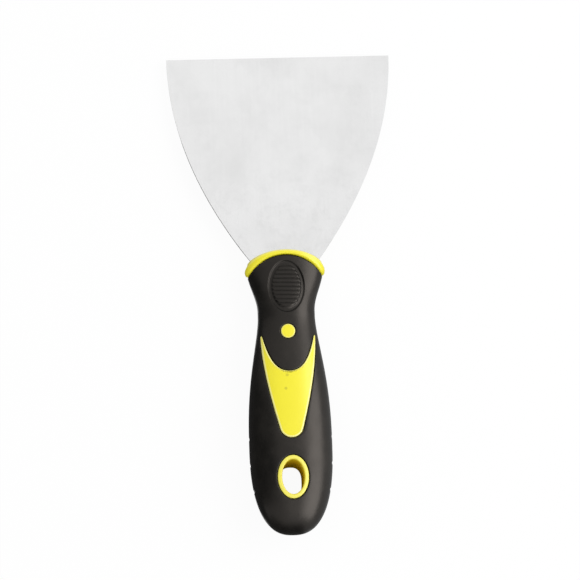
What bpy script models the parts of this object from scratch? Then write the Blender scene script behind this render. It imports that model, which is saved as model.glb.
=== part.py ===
"""Putty knife: a flared steel blade in a two-colour moulded handle, as separate solids.

While it is modelled, X runs across the blade, Y along the tool from the butt of the handle
to the working edge, and Z out of the front face, with the blade's middle plane at Z = 0.
At the end the whole tool is laid down, front face up, on what it would rest on.
Every length is in metres.
"""

import math

import bmesh
import bpy
import numpy as np
from mathutils import Matrix

TOOL_NAME = "putty_knife"

# Gap kept between pieces that seat against each other
CLEARANCE = 0.0003

# Blade: the sides follow a parabola from the working edge to the tang
BLADE_WIDTH = 0.100
BLADE_ROOT_WIDTH = 0.0366
BLADE_EXPOSED = 0.0882
BLADE_THICKNESS = 0.0010
EDGE_THICKNESS = 0.0006
GRIND_SETBACK = 0.0070
TANG_WIDTH = 0.0130
TANG_TAIL = 0.0080

# Handle form: a rounded butt, a belly, a straight waist and a flare up to the mouth
HANDLE_LENGTH = 0.1244
BELLY_FROM_BUTT = 0.0395
BELLY_WIDTH = 0.0371
BELLY_THICKNESS = 0.0250
WAIST_LENGTH = 0.0028
WAIST_WIDTH = 0.0256
WAIST_THICKNESS = 0.0186
FLARE_LENGTH = 0.0190
FLARE_SETBACK = 0.0054
MOUTH_WIDTH = 0.0344
MOUTH_THICKNESS = 0.0156
MOUTH_RADIUS = 0.0200
GRIP_WALL = 0.0026

# Shape powers of the handle's section, butt and taper
SECTION_POWER = 2.4
BUTT_POWER = 2.5
TAPER_POWER = 1.65
TAPER_FULLNESS = 2.5

# Collar: an arched flange on a skirt that plugs into the mouth of the grip
COLLAR_WIDTH = 0.0362
COLLAR_ARCH = 0.0090
COLLAR_DEPTH = 0.0024
COLLAR_PROUD = 0.0008
SKIRT_LENGTH = 0.0170

# Thumb rest: a shallow oval recess with crosswise ribs
PAD_WIDTH = 0.0159
PAD_LENGTH = 0.0231
PAD_SETBACK = 0.0027
PAD_DEPTH = 0.0006
PAD_MOAT = 0.0016
RIB_PITCH = 0.00187
RIB_WIDTH = 0.0010

# Tang rivets, and round caps over the heads of the upper one
RIVET_BEHIND_PAD = 0.0087
RIVET_SHANK_DIAMETER = 0.0040
RIVET_HEAD_DIAMETER = 0.0063
RIVET_HEAD_HEIGHT = 0.0014
RIVET_SEAT_HEIGHT = 0.0035
CAP_EDGE = 0.0005

# Tongue-shaped inlays with two horns, one in each face of the grip
TONGUE_END_RADIUS = 0.0052
TONGUE_BUSH_GAP = 0.0079
TONGUE_BULGE = 0.0163
HORN_SIDE_MARGIN = 0.0016
HORN_BEHIND_RIVET = 0.0018
NOTCH_DEPTH = 0.0162
NOTCH_FLATNESS = 0.47
INLAY_EDGE_HEIGHT = 0.0025

# How far the yellow trim stands out of the black grip
TRIM_PROUD = 0.00025

# Oval bush that lines the hanging hole
BUSH_FROM_BUTT = 0.0248
BUSH_WIDTH = 0.0137
BUSH_LENGTH = 0.0190
BUSH_WALL = 0.0019

# Finger grooves in both flanks of the grip
GROOVE_FROM_BUTT = 0.0196
GROOVE_PITCH = 0.0118
GROOVE_COUNT = 3
GROOVE_RADIUS = 0.0012
GROOVE_DEPTH = 0.0004

# Fineness of the faceted surfaces
SECTION_POINTS = 32
BUTT_RINGS = 7
RING_STEP = 0.0060
OVAL_POINTS = 32
ARC_POINTS = 16
ROUND_STEPS = 20

# Reach of cutters past the surface that they cut
OVERSHOOT = 0.0050

# Smallest step between the rings of a loft, and the distance at which points are one point
LEAST_RING_STEP = 0.0003
WELD_DISTANCE = 0.000001

# Angle past which an edge is shaded sharp, and rounds in which the tool's rest settles
SHARP_ANGLE = math.radians(35)
LAY_DOWN_ROUNDS = 12

# Places along the tool, counted from the butt
MOUTH = HANDLE_LENGTH
COLLAR_FRONT = MOUTH + COLLAR_DEPTH
WORKING_EDGE = COLLAR_FRONT + BLADE_EXPOSED
SKIRT_BACK = MOUTH - SKIRT_LENGTH
CORE_FRONT = SKIRT_BACK - CLEARANCE
FLARE_END = MOUTH - FLARE_SETBACK
WAIST_FRONT = FLARE_END - FLARE_LENGTH
WAIST_BACK = WAIST_FRONT - WAIST_LENGTH
PAD_CENTRE = MOUTH - PAD_SETBACK - PAD_LENGTH / 2
UPPER_RIVET = PAD_CENTRE - PAD_LENGTH / 2 - RIVET_BEHIND_PAD
HORN_TIP = UPPER_RIVET - HORN_BEHIND_RIVET
NOTCH_BOTTOM = HORN_TIP - NOTCH_DEPTH
TONGUE_END = BUSH_FROM_BUTT + BUSH_LENGTH / 2 + TONGUE_BUSH_GAP
LOWER_RIVET = (TONGUE_END + NOTCH_BOTTOM) / 2
TANG_END = LOWER_RIVET - TANG_TAIL
BALANCE = WAIST_BACK

# Heights shared by the rivets and by what sits over their heads
RIVET_TOP = RIVET_SEAT_HEIGHT + CLEARANCE + RIVET_HEAD_HEIGHT
OVER_RIVET = RIVET_TOP + CLEARANCE

# Half-size of a box that holds the whole handle
HANDLE_REACH = max(BELLY_WIDTH, MOUTH_WIDTH, COLLAR_WIDTH) / 2 + OVERSHOOT
HANDLE_HEIGHT = max(BELLY_THICKNESS, MOUTH_THICKNESS) / 2 + OVERSHOOT

FRONT = 1
REAR = -1
SIDE_NAMES = {FRONT: "front", REAR: "rear"}


def linear_colour(hex_code):
    """Turn an sRGB colour such as F2E52F into linear red, green, blue and alpha."""
    channels = [int(hex_code[i:i + 2], 16) / 255 for i in (0, 2, 4)]
    linear = [c / 12.92 if c <= 0.04045 else ((c + 0.055) / 1.055) ** 2.4 for c in channels]
    return (*linear, 1.0)


def make_material(name, hex_code, roughness, metallic=0.0):
    """A Principled material of one colour."""
    material = bpy.data.materials.new(name)
    material.use_nodes = True
    shader = material.node_tree.nodes["Principled BSDF"]
    shader.inputs["Base Color"].default_value = linear_colour(hex_code)
    shader.inputs["Roughness"].default_value = roughness
    shader.inputs["Metallic"].default_value = metallic
    return material


class Bench:
    """The empty that carries the tool, the collection of its parts and that of its cutters."""

    def __init__(self, name):
        for old in list(bpy.data.objects):
            bpy.data.objects.remove(old, do_unlink=True)
        self.parts = bpy.data.collections.new(name)
        self.cutters = bpy.data.collections.new(name + "_cutters")
        for collection in (self.parts, self.cutters):
            bpy.context.scene.collection.children.link(collection)
        self.carrier = bpy.data.objects.new(name + "_carrier", None)
        self.parts.objects.link(self.carrier)

    def _add(self, name, mesh, collection):
        obj = bpy.data.objects.new(name, mesh)
        collection.objects.link(obj)
        obj.parent = self.carrier
        return obj

    def part(self, name, mesh, material):
        """Add a piece of the tool, shaded smooth with its real edges kept sharp."""
        mesh.materials.clear()
        mesh.materials.append(material)
        mesh.shade_smooth()
        mesh.set_sharp_from_angle(angle=SHARP_ANGLE)
        return self._add(name, mesh, self.parts)

    def cutter(self, name, mesh):
        """Add a shape that only cuts or trims other shapes."""
        obj = self._add(name, mesh, self.cutters)
        obj.hide_render = True
        obj.display_type = "WIRE"
        return obj


def combine(target, tool, operation="DIFFERENCE"):
    """Cut, trim or join target with tool by an exact Boolean."""
    modifier = target.modifiers.new(tool.name, "BOOLEAN")
    modifier.operation = operation
    modifier.object = tool
    modifier.solver = "EXACT"


def ease(share):
    """Smooth step from 0 to 1."""
    share = np.clip(share, 0.0, 1.0)
    return share * share * (3 - 2 * share)


def half_size(along, belly, waist, mouth, grown):
    """Half-width or half-thickness of the handle at a distance along it, grown all round."""
    along = np.asarray(along, dtype=float)
    past_belly = np.clip((along - BELLY_FROM_BUTT) / (WAIST_BACK - BELLY_FROM_BUTT), 0.0, 1.0)
    taper = (1 - past_belly ** TAPER_FULLNESS) ** TAPER_POWER
    flare = ease((along - WAIST_FRONT) / FLARE_LENGTH)
    half = (waist + (belly - waist) * taper + (mouth - waist) * flare) / 2 + grown
    before_belly = np.clip((BELLY_FROM_BUTT - along) / (BELLY_FROM_BUTT + grown), 0.0, 1.0)
    return half * (1 - before_belly ** BUTT_POWER) ** (1 / BUTT_POWER)


def half_width(along, grown=0.0):
    """Half-width of the handle at a distance along it."""
    return half_size(along, BELLY_WIDTH, WAIST_WIDTH, MOUTH_WIDTH, grown)


def half_thickness(along, grown=0.0):
    """Half-thickness of the handle at a distance along it."""
    return half_size(along, BELLY_THICKNESS, WAIST_THICKNESS, MOUTH_THICKNESS, grown)


def ring_places(grown, back, front):
    """Places of a loft's rings: close together round the butt, then one every RING_STEP."""
    quarter = np.linspace(0, math.pi / 2, BUTT_RINGS + 1)[1:]
    butt = BELLY_FROM_BUTT - (BELLY_FROM_BUTT + grown) * np.cos(quarter)
    straight = np.arange(BELLY_FROM_BUTT + RING_STEP, front, RING_STEP)
    places = np.concatenate([butt, straight])
    start = -grown if back is None else back
    places = places[(places > start + LEAST_RING_STEP) & (places < front - LEAST_RING_STEP)]
    ends = [front] if back is None else [back, front]
    return np.sort(np.concatenate([places, ends]))


def handle_form(grown, back=None, front=COLLAR_FRONT + OVERSHOOT):
    """Closed loft of the handle's form grown all round, from its butt or a flat back to a flat front.

    Each ring is a superellipse with a flat facet on its top, bottom and flanks. The faces are built
    by hand because the sections differ.
    """
    bm = bmesh.new()
    half_step = math.pi / SECTION_POINTS
    angles = np.linspace(0, 2 * math.pi, SECTION_POINTS, endpoint=False) + half_step
    across = np.sign(np.cos(angles)) * np.abs(np.cos(angles)) ** (2 / SECTION_POWER)
    upward = np.sign(np.sin(angles)) * np.abs(np.sin(angles)) ** (2 / SECTION_POWER)
    rings = []
    for along in ring_places(grown, back, front):
        xs = across * half_width(along, grown)
        zs = upward * half_thickness(along, grown)
        rings.append([bm.verts.new((x, along, z)) for x, z in zip(xs, zs)])
    for ring, following in zip(rings, rings[1:]):
        for i in range(SECTION_POINTS):
            j = (i + 1) % SECTION_POINTS
            bm.faces.new((ring[i], ring[j], following[j], following[i]))
    bm.faces.new(rings[-1])
    if back is None:
        pole = bm.verts.new((0, -grown, 0))
        for i in range(SECTION_POINTS):
            bm.faces.new((rings[0][i], pole, rings[0][(i + 1) % SECTION_POINTS]))
    else:
        bm.faces.new(list(reversed(rings[0])))
    return finished_mesh("handle_form", bm)


def finished_mesh(name, bm):
    """Turn a bmesh into a mesh whose faces point outwards."""
    bmesh.ops.recalc_face_normals(bm, faces=bm.faces)
    mesh = bpy.data.meshes.new(name)
    bm.to_mesh(mesh)
    bm.free()
    return mesh


def prism(outlines, low, high):
    """Closed outlines in X and Y, filled between the outer ones and the inner ones, from low to high."""
    curve = bpy.data.curves.new("outline", "CURVE")
    curve.dimensions = "2D"
    curve.fill_mode = "BOTH"
    curve.extrude = (high - low) / 2
    for outline in outlines:
        spline = curve.splines.new("POLY")
        spline.points.add(len(outline) - 1)
        for point, (x, y) in zip(spline.points, outline):
            point.co = (x, y, 0, 1)
        spline.use_cyclic_u = True
    flat = bpy.data.objects.new("outline", curve)
    bpy.context.scene.collection.objects.link(flat)
    depsgraph = bpy.context.evaluated_depsgraph_get()
    mesh = bpy.data.meshes.new_from_object(flat.evaluated_get(depsgraph))
    bpy.data.objects.remove(flat, do_unlink=True)
    bm = bmesh.new()
    bm.from_mesh(mesh)
    bpy.data.meshes.remove(mesh)
    bmesh.ops.remove_doubles(bm, verts=bm.verts, dist=WELD_DISTANCE)
    bmesh.ops.translate(bm, verts=bm.verts, vec=(0, 0, (low + high) / 2))
    return finished_mesh("prism", bm)


def round_bar(radius, low, high, centre):
    """Cylinder along Z from low to high round a centre in X and Y."""
    bm = bmesh.new()
    bmesh.ops.create_cone(bm, cap_ends=True, segments=ROUND_STEPS, radius1=radius, radius2=radius,
                          depth=high - low, matrix=Matrix.Translation((*centre, (low + high) / 2)))
    return finished_mesh("round_bar", bm)


def slab(half_x, back, front, low, high):
    """Box centred across the tool."""
    bm = bmesh.new()
    size = Matrix.Diagonal((2 * half_x, front - back, high - low, 1))
    place = Matrix.Translation((0, (back + front) / 2, (low + high) / 2))
    bmesh.ops.create_cube(bm, size=1, matrix=place @ size)
    return finished_mesh("slab", bm)


def oval(half_x, half_y, centre_y, points=OVAL_POINTS):
    """Ellipse on the tool's axis, as a list of points."""
    angles = np.linspace(0, 2 * math.pi, points, endpoint=False)
    return list(zip(half_x * np.cos(angles), centre_y + half_y * np.sin(angles)))


def grown_outline(outline, distance):
    """Move each point of a counter-clockwise outline out along the mean normal of its two edges."""
    points = np.array(outline)
    edges = np.roll(points, -1, axis=0) - points
    edge_normals = np.stack([edges[:, 1], -edges[:, 0]], axis=1)
    edge_normals /= np.linalg.norm(edge_normals, axis=1, keepdims=True)
    normals = edge_normals + np.roll(edge_normals, 1, axis=0)
    normals /= np.linalg.norm(normals, axis=1, keepdims=True)
    return [tuple(p) for p in points + distance * normals]


def mirrored(right_side):
    """Counter-clockwise outline from its right side, listed from the back end to the front end."""
    left_side = [(-x, y) for x, y in reversed(right_side) if x > WELD_DISTANCE]
    return list(right_side) + left_side


def arched_outline(half_x, rise, apex, back):
    """Outline of everything behind an elliptic arch across the tool."""
    angles = np.linspace(0, math.pi / 2, ARC_POINTS)
    right = [(HANDLE_REACH, back), (HANDLE_REACH, apex - rise)]
    if half_x >= HANDLE_REACH:
        right = [(half_x, back)]
    right += [(half_x * math.cos(a), apex - rise + rise * math.sin(a)) for a in angles]
    return mirrored(right)


def blade_outline(grown=0.0):
    """Working edge, parabolic sides and a straight tang, grown all round."""
    half_edge = BLADE_WIDTH / 2
    narrowing = (half_edge - BLADE_ROOT_WIDTH / 2) / BLADE_EXPOSED ** 2
    to_tang = math.sqrt((half_edge - TANG_WIDTH / 2) / narrowing)
    depths = np.linspace(to_tang, 0, ARC_POINTS)
    right = [(TANG_WIDTH / 2, TANG_END)]
    right += [(half_edge - narrowing * d * d, WORKING_EDGE - d) for d in depths]
    return grown_outline(mirrored(right), grown) if grown else mirrored(right)


def tongue_outline():
    """Inlay outline: a round end, sides on a quadratic curve out to two horns, and a curved notch.

    The round end runs up to where its tangent points at the side curve's bend.
    """
    horn = half_width(HORN_TIP) - HORN_SIDE_MARGIN
    tip = np.array([horn, HORN_TIP])
    bend = np.array([horn, HORN_TIP - TONGUE_BULGE])
    end_centre = np.array([0, TONGUE_END + TONGUE_END_RADIUS])
    to_bend = bend - end_centre
    towards_bend = math.atan2(to_bend[1], to_bend[0])
    touch = towards_bend - math.acos(TONGUE_END_RADIUS / np.linalg.norm(to_bend))
    round_end = [end_centre + TONGUE_END_RADIUS * np.array([math.cos(a), math.sin(a)])
                 for a in np.linspace(-math.pi / 2, touch, ARC_POINTS // 2)]
    side = [(1 - t) ** 2 * round_end[-1] + 2 * t * (1 - t) * bend + t * t * tip
            for t in np.linspace(0, 1, ARC_POINTS // 2 + 1)[1:]]
    notch = []
    for share in np.linspace(1, 0, ARC_POINTS // 2 + 1)[1:]:
        rise = NOTCH_FLATNESS * share ** 2 + (1 - NOTCH_FLATNESS) * share ** 4
        notch.append((horn * share, NOTCH_BOTTOM + NOTCH_DEPTH * rise))
    return mirrored(round_end + side + notch)


def rib_outlines():
    """Crosswise bars with chamfered ends that fill the oval inside the thumb rest's moat."""
    half_x = PAD_WIDTH / 2 - PAD_MOAT
    half_y = PAD_LENGTH / 2 - PAD_MOAT
    count = int((2 * half_y - RIB_WIDTH) / RIB_PITCH)
    chamfer = RIB_WIDTH / 4
    bars = []
    for i in range(count):
        y = (i - (count - 1) / 2) * RIB_PITCH
        reach = half_x * math.sqrt(1 - (y / half_y) ** 2)
        corners = [(reach - chamfer, -RIB_WIDTH / 2), (reach, chamfer - RIB_WIDTH / 2),
                   (reach, RIB_WIDTH / 2 - chamfer), (reach - chamfer, RIB_WIDTH / 2)]
        corners += [(-x, -dy) for x, dy in corners]
        bars.append([(x, PAD_CENTRE + y + dy) for x, dy in corners])
    return bars


def side_span(side, low, high):
    """Heights of a shape on the front or rear of the tool, lowest first."""
    return (low, high) if side == FRONT else (-high, -low)


def turned_mesh(bench, name, profile):
    """Solid turned round Z from a profile that runs down its outer side."""
    mesh = bpy.data.meshes.new(name)
    mesh.from_pydata([(r, 0, z) for r, z in profile], [(i, i + 1) for i in range(len(profile) - 1)], [])
    obj = bench.cutter(name + "_profile", mesh)
    screw = obj.modifiers.new("turn", "SCREW")
    screw.steps = ROUND_STEPS
    screw.render_steps = ROUND_STEPS
    screw.use_merge_vertices = True
    screw.merge_threshold = WELD_DISTANCE
    depsgraph = bpy.context.evaluated_depsgraph_get()
    solid = bpy.data.meshes.new_from_object(obj.evaluated_get(depsgraph))
    bpy.data.objects.remove(obj, do_unlink=True)
    return solid


def make_blade(bench, steel):
    """Sheet steel blade with its tang, two rivet holes and faces ground down to the working edge."""
    blade = bench.part("blade", prism([blade_outline()], -BLADE_THICKNESS / 2, BLADE_THICKNESS / 2), steel)
    grind_start = COLLAR_FRONT + GRIND_SETBACK
    slope = (BLADE_THICKNESS - EDGE_THICKNESS) / 2 / (WORKING_EDGE - grind_start)
    reach = BLADE_WIDTH / 2 + OVERSHOOT
    for side in (FRONT, REAR):
        wedge = slab(reach, -OVERSHOOT, WORKING_EDGE - grind_start + OVERSHOOT,
                     *side_span(side, 0, OVERSHOOT))
        wedge.transform(Matrix.Rotation(-side * math.atan(slope), 4, "X"))
        wedge.transform(Matrix.Translation((0, grind_start, side * BLADE_THICKNESS / 2)))
        combine(blade, bench.cutter(f"{SIDE_NAMES[side]}_grind", wedge))
    for place in (UPPER_RIVET, LOWER_RIVET):
        hole = round_bar(RIVET_SHANK_DIAMETER / 2 + CLEARANCE, -OVERSHOOT, OVERSHOOT, (0, place))
        combine(blade, bench.cutter("tang_hole", hole))


def make_collar(bench, plastic):
    """Arched yellow collar round the root of the blade, with a skirt inside the grip's mouth."""
    collar = bench.part("collar", handle_form(COLLAR_PROUD, back=SKIRT_BACK), plastic)
    front = prism([arched_outline(COLLAR_WIDTH / 2, COLLAR_ARCH, COLLAR_FRONT, 0)],
                  -HANDLE_HEIGHT, HANDLE_HEIGHT)
    combine(collar, bench.cutter("collar_front", front), "INTERSECT")
    grip_room = prism([arched_outline(MOUTH_RADIUS + CLEARANCE, MOUTH_RADIUS + CLEARANCE,
                                      MOUTH + CLEARANCE, 0)], -HANDLE_HEIGHT, HANDLE_HEIGHT)
    grip_room = bench.cutter("grip_room", grip_room)
    skirt_form = handle_form(-GRIP_WALL - CLEARANCE)
    combine(grip_room, bench.cutter("skirt_form", skirt_form))
    combine(collar, grip_room)
    slot_height = BLADE_THICKNESS / 2 + CLEARANCE
    slot = prism([blade_outline(CLEARANCE)], -slot_height, slot_height)
    combine(collar, bench.cutter("blade_slot", slot))


def make_core_half(bench, side, plastic):
    """Half of the moulded core that clamps the tang, with seats for the rivets and the bush."""
    name = f"core_{SIDE_NAMES[side]}"
    core = bench.part(name, handle_form(-GRIP_WALL - CLEARANCE, front=CORE_FRONT), plastic)
    other_half = slab(HANDLE_REACH, -OVERSHOOT, MOUTH, *side_span(side, -HANDLE_HEIGHT, CLEARANCE / 2))
    combine(core, bench.cutter(f"{name}_parting", other_half))
    tang_height = BLADE_THICKNESS / 2 + CLEARANCE
    tang_room = prism([blade_outline(CLEARANCE)], -tang_height, tang_height)
    combine(core, bench.cutter(f"{name}_tang_room", tang_room))
    for place in (UPPER_RIVET, LOWER_RIVET):
        bore = round_bar(RIVET_SHANK_DIAMETER / 2 + CLEARANCE, -HANDLE_HEIGHT, HANDLE_HEIGHT, (0, place))
        combine(core, bench.cutter(f"{name}_bore", bore))
        seat = round_bar(RIVET_HEAD_DIAMETER / 2 + CLEARANCE,
                         *side_span(side, RIVET_SEAT_HEIGHT, HANDLE_HEIGHT), (0, place))
        combine(core, bench.cutter(f"{name}_seat", seat))
    combine(core, bench.cutter(f"{name}_bush_hole", bush_prism(CLEARANCE)))


def bush_prism(grown):
    """Oval bar of the bush's outline, grown all round, through the whole handle."""
    outline = oval(BUSH_WIDTH / 2 + grown, BUSH_LENGTH / 2 + grown, BUSH_FROM_BUTT)
    return prism([outline], -HANDLE_HEIGHT, HANDLE_HEIGHT)


def make_rivet(bench, name, place, steel):
    """Double-headed rivet through both core halves and the tang."""
    head = RIVET_HEAD_DIAMETER / 2
    shank = RIVET_SHANK_DIAMETER / 2
    under = RIVET_SEAT_HEIGHT + CLEARANCE
    profile = [(0, RIVET_TOP), (head, RIVET_TOP), (head, under), (shank, under),
               (shank, -under), (head, -under), (head, -RIVET_TOP), (0, -RIVET_TOP)]
    rivet = bench.part(name, turned_mesh(bench, name, profile), steel)
    rivet.location.y = place


def make_rivet_cap(bench, side, plastic):
    """Round yellow cap that plugs the hole over a head of the upper rivet."""
    name = f"rivet_cap_{SIDE_NAMES[side]}"
    radius = RIVET_HEAD_DIAMETER / 2
    top = float(half_thickness(UPPER_RIVET)) + TRIM_PROUD
    profile = [(0, top), (radius - CAP_EDGE, top), (radius, top - CAP_EDGE), (radius, OVER_RIVET),
               (0, OVER_RIVET)]
    cap = bench.part(name, turned_mesh(bench, name, profile), plastic)
    cap.location.y = UPPER_RIVET
    cap.rotation_euler.y = 0 if side == FRONT else math.pi


def make_inlay(bench, side, plastic):
    """Tongue-shaped plate that lies on the core, with a boss in the lower rivet's seat."""
    name = f"inlay_{SIDE_NAMES[side]}"
    low = INLAY_EDGE_HEIGHT + CLEARANCE
    inlay = bench.part(name, prism([tongue_outline()], *side_span(side, low, HANDLE_HEIGHT)), plastic)
    combine(inlay, bench.cutter(f"{name}_surface", handle_form(TRIM_PROUD)), "INTERSECT")
    combine(inlay, bench.cutter(f"{name}_underside", handle_form(-GRIP_WALL)))
    boss_top = float(half_thickness(LOWER_RIVET)) - GRIP_WALL / 2
    boss = round_bar(RIVET_HEAD_DIAMETER / 2, *side_span(side, OVER_RIVET, boss_top), (0, LOWER_RIVET))
    combine(inlay, bench.cutter(f"{name}_boss", boss), "UNION")


def make_bush(bench, plastic):
    """Oval tube that lines the hanging hole from face to face."""
    bush = bench.part("hang_bush", bush_prism(0.0), plastic)
    combine(bush, bench.cutter("bush_ends", handle_form(TRIM_PROUD)), "INTERSECT")
    combine(bush, bench.cutter("bush_bore", bush_prism(-BUSH_WALL)))


def make_grip(bench, rubber):
    """Soft black sleeve over the core, with windows for the trim, finger grooves and thumb rests."""
    grip = bench.part("grip_sleeve", handle_form(0.0), rubber)
    mouth = prism([arched_outline(MOUTH_RADIUS, MOUTH_RADIUS, MOUTH, -OVERSHOOT)],
                  -HANDLE_HEIGHT, HANDLE_HEIGHT)
    combine(grip, bench.cutter("grip_mouth", mouth), "INTERSECT")
    combine(grip, bench.cutter("grip_inside", handle_form(-GRIP_WALL)))
    combine(grip, bench.cutter("bush_window", bush_prism(CLEARANCE)))
    cap_hole = round_bar(RIVET_HEAD_DIAMETER / 2 + CLEARANCE, -HANDLE_HEIGHT, HANDLE_HEIGHT,
                         (0, UPPER_RIVET))
    combine(grip, bench.cutter("cap_holes", cap_hole))
    for side in (FRONT, REAR):
        window = prism([grown_outline(tongue_outline(), CLEARANCE)],
                       *side_span(side, INLAY_EDGE_HEIGHT, HANDLE_HEIGHT))
        combine(grip, bench.cutter(f"{SIDE_NAMES[side]}_inlay_window", window))
    for i in range(GROOVE_COUNT):
        place = GROOVE_FROM_BUTT + i * GROOVE_PITCH
        for flank in (1, -1):
            centre = flank * (float(half_width(place)) + GROOVE_RADIUS - GROOVE_DEPTH)
            groove = round_bar(GROOVE_RADIUS, -HANDLE_HEIGHT, HANDLE_HEIGHT, (centre, place))
            combine(grip, bench.cutter("finger_groove", groove))
    recesses = prism([oval(PAD_WIDTH / 2, PAD_LENGTH / 2, PAD_CENTRE)] + rib_outlines(),
                     -HANDLE_HEIGHT, HANDLE_HEIGHT)
    recesses = bench.cutter("thumb_recesses", recesses)
    combine(recesses, bench.cutter("thumb_floor", handle_form(-PAD_DEPTH)))
    combine(grip, recesses)


def lay_down(bench):
    """Turn the tool about X so that it lies on the points below it on each side of its balance point,
    then centre it on its own box.
    """
    depsgraph = bpy.context.evaluated_depsgraph_get()
    points = []
    for obj in bench.parts.objects:
        if obj.type == "MESH":
            mesh = obj.evaluated_get(depsgraph).to_mesh()
            points += [obj.matrix_world @ vertex.co for vertex in mesh.vertices]
    y, z = np.array(points)[:, 1:].T
    behind = np.flatnonzero(y < BALANCE)
    ahead = np.flatnonzero(y >= BALANCE)
    slope = 0.0
    for _ in range(LAY_DOWN_ROUNDS):
        heights = z - slope * y
        heel = behind[np.argmin(heights[behind])]
        toe = ahead[np.argmin(heights[ahead])]
        slope = (z[toe] - z[heel]) / (y[toe] - y[heel])
    tilt = math.atan(slope)
    turned_y = y * math.cos(tilt) + z * math.sin(tilt)
    turned_z = z * math.cos(tilt) - y * math.sin(tilt)
    bench.carrier.rotation_euler.x = -tilt
    bench.carrier.location = (0, -(turned_y.min() + turned_y.max()) / 2, -turned_z.min())


def main():
    """Make every piece and lay the tool down."""
    bench = Bench(TOOL_NAME)
    steel = make_material("polished_blade_steel", "DFE0E1", 0.25, metallic=1.0)
    rivet_steel = make_material("rivet_steel", "A8A8A6", 0.4, metallic=1.0)
    yellow = make_material("yellow_polypropylene", "F4E62E", 0.35)
    core_plastic = make_material("core_polypropylene", "E8DA30", 0.5)
    rubber = make_material("black_soft_grip", "2B2C28", 0.6)
    make_blade(bench, steel)
    make_collar(bench, yellow)
    make_rivet(bench, "rivet_upper", UPPER_RIVET, rivet_steel)
    make_rivet(bench, "rivet_lower", LOWER_RIVET, rivet_steel)
    for side in (FRONT, REAR):
        make_core_half(bench, side, core_plastic)
        make_rivet_cap(bench, side, yellow)
        make_inlay(bench, side, yellow)
    make_bush(bench, yellow)
    make_grip(bench, rubber)
    bpy.context.view_layer.update()
    lay_down(bench)


main()
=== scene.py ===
"""Dressed putty knife: each visible piece as a fine surface with its finish, in a plain studio.

A point on the tool is (across, along, out): across the blade, along the tool from the butt of the
handle to the working edge, and out of the front face. Lengths are in metres.
"""

import logging
import math
from collections.abc import Callable
from dataclasses import dataclass
from enum import Enum

import bmesh
import bpy
import numpy as np
from mathutils import Matrix, Vector


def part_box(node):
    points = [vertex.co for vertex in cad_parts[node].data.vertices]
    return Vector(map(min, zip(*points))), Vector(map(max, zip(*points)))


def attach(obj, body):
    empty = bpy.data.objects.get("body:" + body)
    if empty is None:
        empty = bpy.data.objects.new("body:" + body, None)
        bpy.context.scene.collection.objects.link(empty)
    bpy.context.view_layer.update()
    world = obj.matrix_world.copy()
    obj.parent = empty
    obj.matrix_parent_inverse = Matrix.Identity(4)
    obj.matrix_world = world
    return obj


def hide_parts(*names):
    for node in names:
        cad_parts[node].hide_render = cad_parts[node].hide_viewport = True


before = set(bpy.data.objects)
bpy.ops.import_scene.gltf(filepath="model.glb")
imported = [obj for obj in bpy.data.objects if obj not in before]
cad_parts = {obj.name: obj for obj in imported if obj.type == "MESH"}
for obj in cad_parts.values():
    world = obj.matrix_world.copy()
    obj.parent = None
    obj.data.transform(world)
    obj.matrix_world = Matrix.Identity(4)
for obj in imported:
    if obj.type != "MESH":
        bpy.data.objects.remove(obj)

MM = 0.001
BODY = "root"
WELD_DISTANCE = 0.001 * MM
SHARP_ANGLE = math.radians(50)
QUARTER = math.pi / 2
CARD_LIFT = 1.0 * MM
# Mesh marks: how far a point lies inside an opening (painted shade) and how much painted highlight it has
# on a rim.
SHELTER = "shelter"
PAINTED_HIGHLIGHT = "rim"
LOG = logging.getLogger("putty_knife")
Numbers = np.ndarray | float


class Face(Enum):
    """The two broad faces of the tool."""

    FRONT = 1
    REAR = -1


@dataclass(frozen=True)
class ToolAxes:
    """Where the tool lies in the frame: the butt of its handle and its along and outward directions."""

    butt: np.ndarray
    along: np.ndarray
    outward: np.ndarray

    @classmethod
    def from_rivets(cls, lower_place: float) -> "ToolAxes":
        """Read the axes from the two tang rivets, whose centres lie on the tool's middle line.

        Args:
            lower_place: Distance of the lower rivet from the butt.

        Returns:
            The tool's axes in the frame.
        """
        lower, upper = (np.mean(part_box(name), axis=0) for name in ("rivet_lower", "rivet_upper"))
        along = (upper - lower) / np.linalg.norm(upper - lower)
        return cls(lower - lower_place * along, along, np.cross((1, 0, 0), along))

    def matrix(self) -> np.ndarray:
        """Rows are the across, along and outward directions."""
        return np.array([(1, 0, 0), self.along, self.outward])

    def to_frame(self, points: np.ndarray) -> np.ndarray:
        """Move points on the tool to their place in the frame."""
        return self.butt + points @ self.matrix()


def smooth_step(share: np.ndarray) -> np.ndarray:
    """Ease from 0 to 1, level at both ends."""
    share = np.clip(share, 0, 1)
    return share * share * (3 - 2 * share)


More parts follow.
